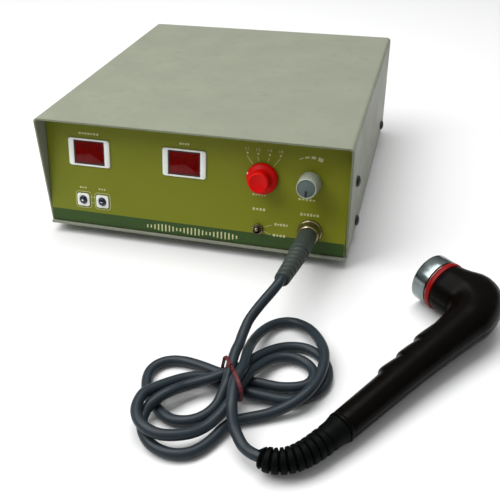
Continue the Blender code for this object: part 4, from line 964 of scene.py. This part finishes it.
def make_collar():
    """Plain moulded ring between boot and shells."""
    place, heading = handle_station(0.0)
    stand = facing((math.cos(heading), math.sin(heading), 0), place)
    ring = [(0, -2.6), (8.2, -2.6), (8.7, -2.4), (8.95, -1.8), (9.0, -0.8), (8.8, -0.35), (0, -0.3)]
    piece("grip_collar", turned(ring, 48), "handle", CONSOLE @ stand, "handpiece",
          ["handle_collar"])


def make_head():
    """Polished applicator cap, its red seal, and the shoulder between them."""
    place, heading = handle_station(REACH)
    stand = CONSOLE @ facing((math.cos(heading), math.sin(heading), 0), place)
    face, rim = SEAL_WIDTH + HEAD_DEPTH, SEAL_WIDTH + 0.3
    bead = [(14.0, 0.2), (16.6, 0.2), (17.0, 0.5), (SEAL_RADIUS, 1.2), (SEAL_RADIUS, rim - 1.3),
            (17.0, rim - 0.6), (16.7, rim - 0.2), (15.6, rim), (14.0, rim)]
    piece("red_seal_ring", turned(bead, 72, closed=True), "seal", stand, "handpiece",
          ["head_seal"])
    shell = [(0, face - 2.5), (12.0, face - 2.5), (12.0, -8.0), (13.2, -8.0), (13.4, 0.3), (14.4, rim),
             (15.6, rim + 0.1), (15.8, rim + 0.7), (16.5, rim + 0.9), (16.85, rim + 1.2),
             (HEAD_RADIUS, rim + 1.7), (HEAD_RADIUS, face - 1.3), (16.7, face - 0.6),
             (16.2, face - 0.15), (15.5, face), (0, face)]
    piece("polished_head", turned(shell, 96), "chrome", stand, "handpiece", ["treatment_head"])


# ---------------------------------------------------------------- CAD nodes that keep their shape

def dress_cad_nodes():
    """Finishes, and softened edges, for the nodes that show their own CAD shape."""
    for paint, bevel, nodes in (
            ("case", 0.25, ("base_tray",)),
            ("case", 0.2, ("rear_panel",)),
            ("zinc", 0.0, ("front_panel",)),
            ("overlay", 0.0, ("front_overlay",)),
            ("black", 0.3, ("mains_inlet", "rocker_housing", "power_rocker", "fuse_holder", "fuse_cap",
                            "selector_switch_body", "power_transistor")),
            ("black", 0.2, ("toggle_switch_body",)),
            ("glass", 0.0, ("fuse",)),
            ("board", 0.0, ("display_board",)),
            ("board", 0.3, ("main_board",)),
            ("steel", 0.2, ("selector_shaft", "power_shaft", "heat_sink")),
            ("zinc", 0.3, ("power_potentiometer",)),
            ("nickel", 0.3, ("socket_nut",)),
            ("core", 0.3, ("transformer_core",)),
            ("copper", 1.0, ("transformer_winding",)),
            ("ceramic", 0.2, ("piezo_crystal",))):
        for node in nodes:
            dress(node, paint, bevel)
    for place in ("front_left", "front_right", "rear_left", "rear_right"):
        dress(f"foot_{place}", "rubber", 0.4)


# ---------------------------------------------------------------- studio

def make_floor():
    """A plain pale table top, a hair below the feet."""
    data = bpy.data.meshes.new("floor")
    mesh = bmesh.new()
    bmesh.ops.create_grid(mesh, x_segments=1, y_segments=1, size=6.0)
    mesh.to_mesh(data)
    mesh.free()
    finish = Finish("floor_pale", (0.74, 0.74, 0.74, 1), 0.7)
    data.materials.append(finish.bump(0.01, 0.00001).material)
    floor = bpy.data.objects.new("floor", data)
    bpy.context.collection.objects.link(floor)
    floor.location.z = -0.0002


def area_light(name, place, target, size, power, colour=(1, 1, 1)):
    data = bpy.data.lights.new(name, "AREA")
    data.shape = "RECTANGLE"
    data.size, data.size_y = size
    data.energy = power
    data.color = colour
    lamp = bpy.data.objects.new(name, data)
    bpy.context.collection.objects.link(lamp)
    lamp.location = place
    lamp.rotation_euler = (Vector(target) - Vector(place)).to_track_quat("-Z", "Y").to_euler()


def make_world():
    """Soft sky, brighter overhead than at the horizon, and plain pale where the camera sees it."""
    world = bpy.data.worlds.new("studio")
    world.use_nodes = True
    tree = world.node_tree
    place = tree.nodes.new("ShaderNodeTexCoord")
    height = tree.nodes.new("ShaderNodeSeparateXYZ")
    fade = tree.nodes.new("ShaderNodeMapRange")
    for name, value in (("From Min", 0.0), ("From Max", 0.9), ("To Min", 0.03), ("To Max", 0.62)):
        fade.inputs[name].default_value = value
    tree.links.new(place.outputs["Generated"], height.inputs[0])
    tree.links.new(height.outputs["Z"], fade.inputs["Value"])
    brighter = tree.nodes.new("ShaderNodeMath")
    brighter.operation = "MAXIMUM"
    seen = tree.nodes.new("ShaderNodeLightPath").outputs["Is Camera Ray"]
    tree.links.new(fade.outputs["Result"], brighter.inputs[0])
    tree.links.new(seen, brighter.inputs[1])
    tree.links.new(brighter.outputs[0], tree.nodes["Background"].inputs["Strength"])
    tree.nodes["Background"].inputs["Color"].default_value = (0.96, 0.97, 0.97, 1)
    bpy.context.scene.world = world


def make_studio():
    """Floor, sky, and two broad lamps: one from the front left, one overhead."""
    make_floor()
    make_world()
    area_light("window", (-0.9, -0.5, 1.3), (0, 0, 0), (1.0, 1.0), 18.0)
    area_light("ceiling", (-0.2, 0.25, 1.65), (0, 0.05, 0), (1.4, 1.0), 22.5)
    bpy.context.scene.view_settings.view_transform = "Standard"


def make_camera():
    """Above the front right of the console, looking down and to the left across its front."""
    data = bpy.data.cameras.new("camera")
    data.lens = 49.344
    data.clip_start = 0.01
    camera = bpy.data.objects.new("camera", data)
    bpy.context.collection.objects.link(camera)
    camera.location = CONSOLE @ Vector((163.09, -418.58, 295.72))
    camera.rotation_euler = [math.radians(turn) for turn in (56.1124, 0.9592, 14.9850)]
    bpy.context.scene.camera = camera


def main():
    make_cover()
    make_cover_screws()
    make_stripe()
    make_panel_print()
    make_scale_numbers()
    make_wave_print()
    for word in DISPLAYS:
        make_display(word)
    for word in KEYS:
        make_key(word)
    make_selector_knob()
    make_power_knob()
    make_toggle()
    make_socket()
    make_coupling_ring()
    make_plug_boot()
    make_cable()
    make_tie()
    make_handle()
    make_handle_boot()
    make_collar()
    make_head()
    dress_cad_nodes()
    make_studio()
    make_camera()


main()
bpy.context.view_layer.update()
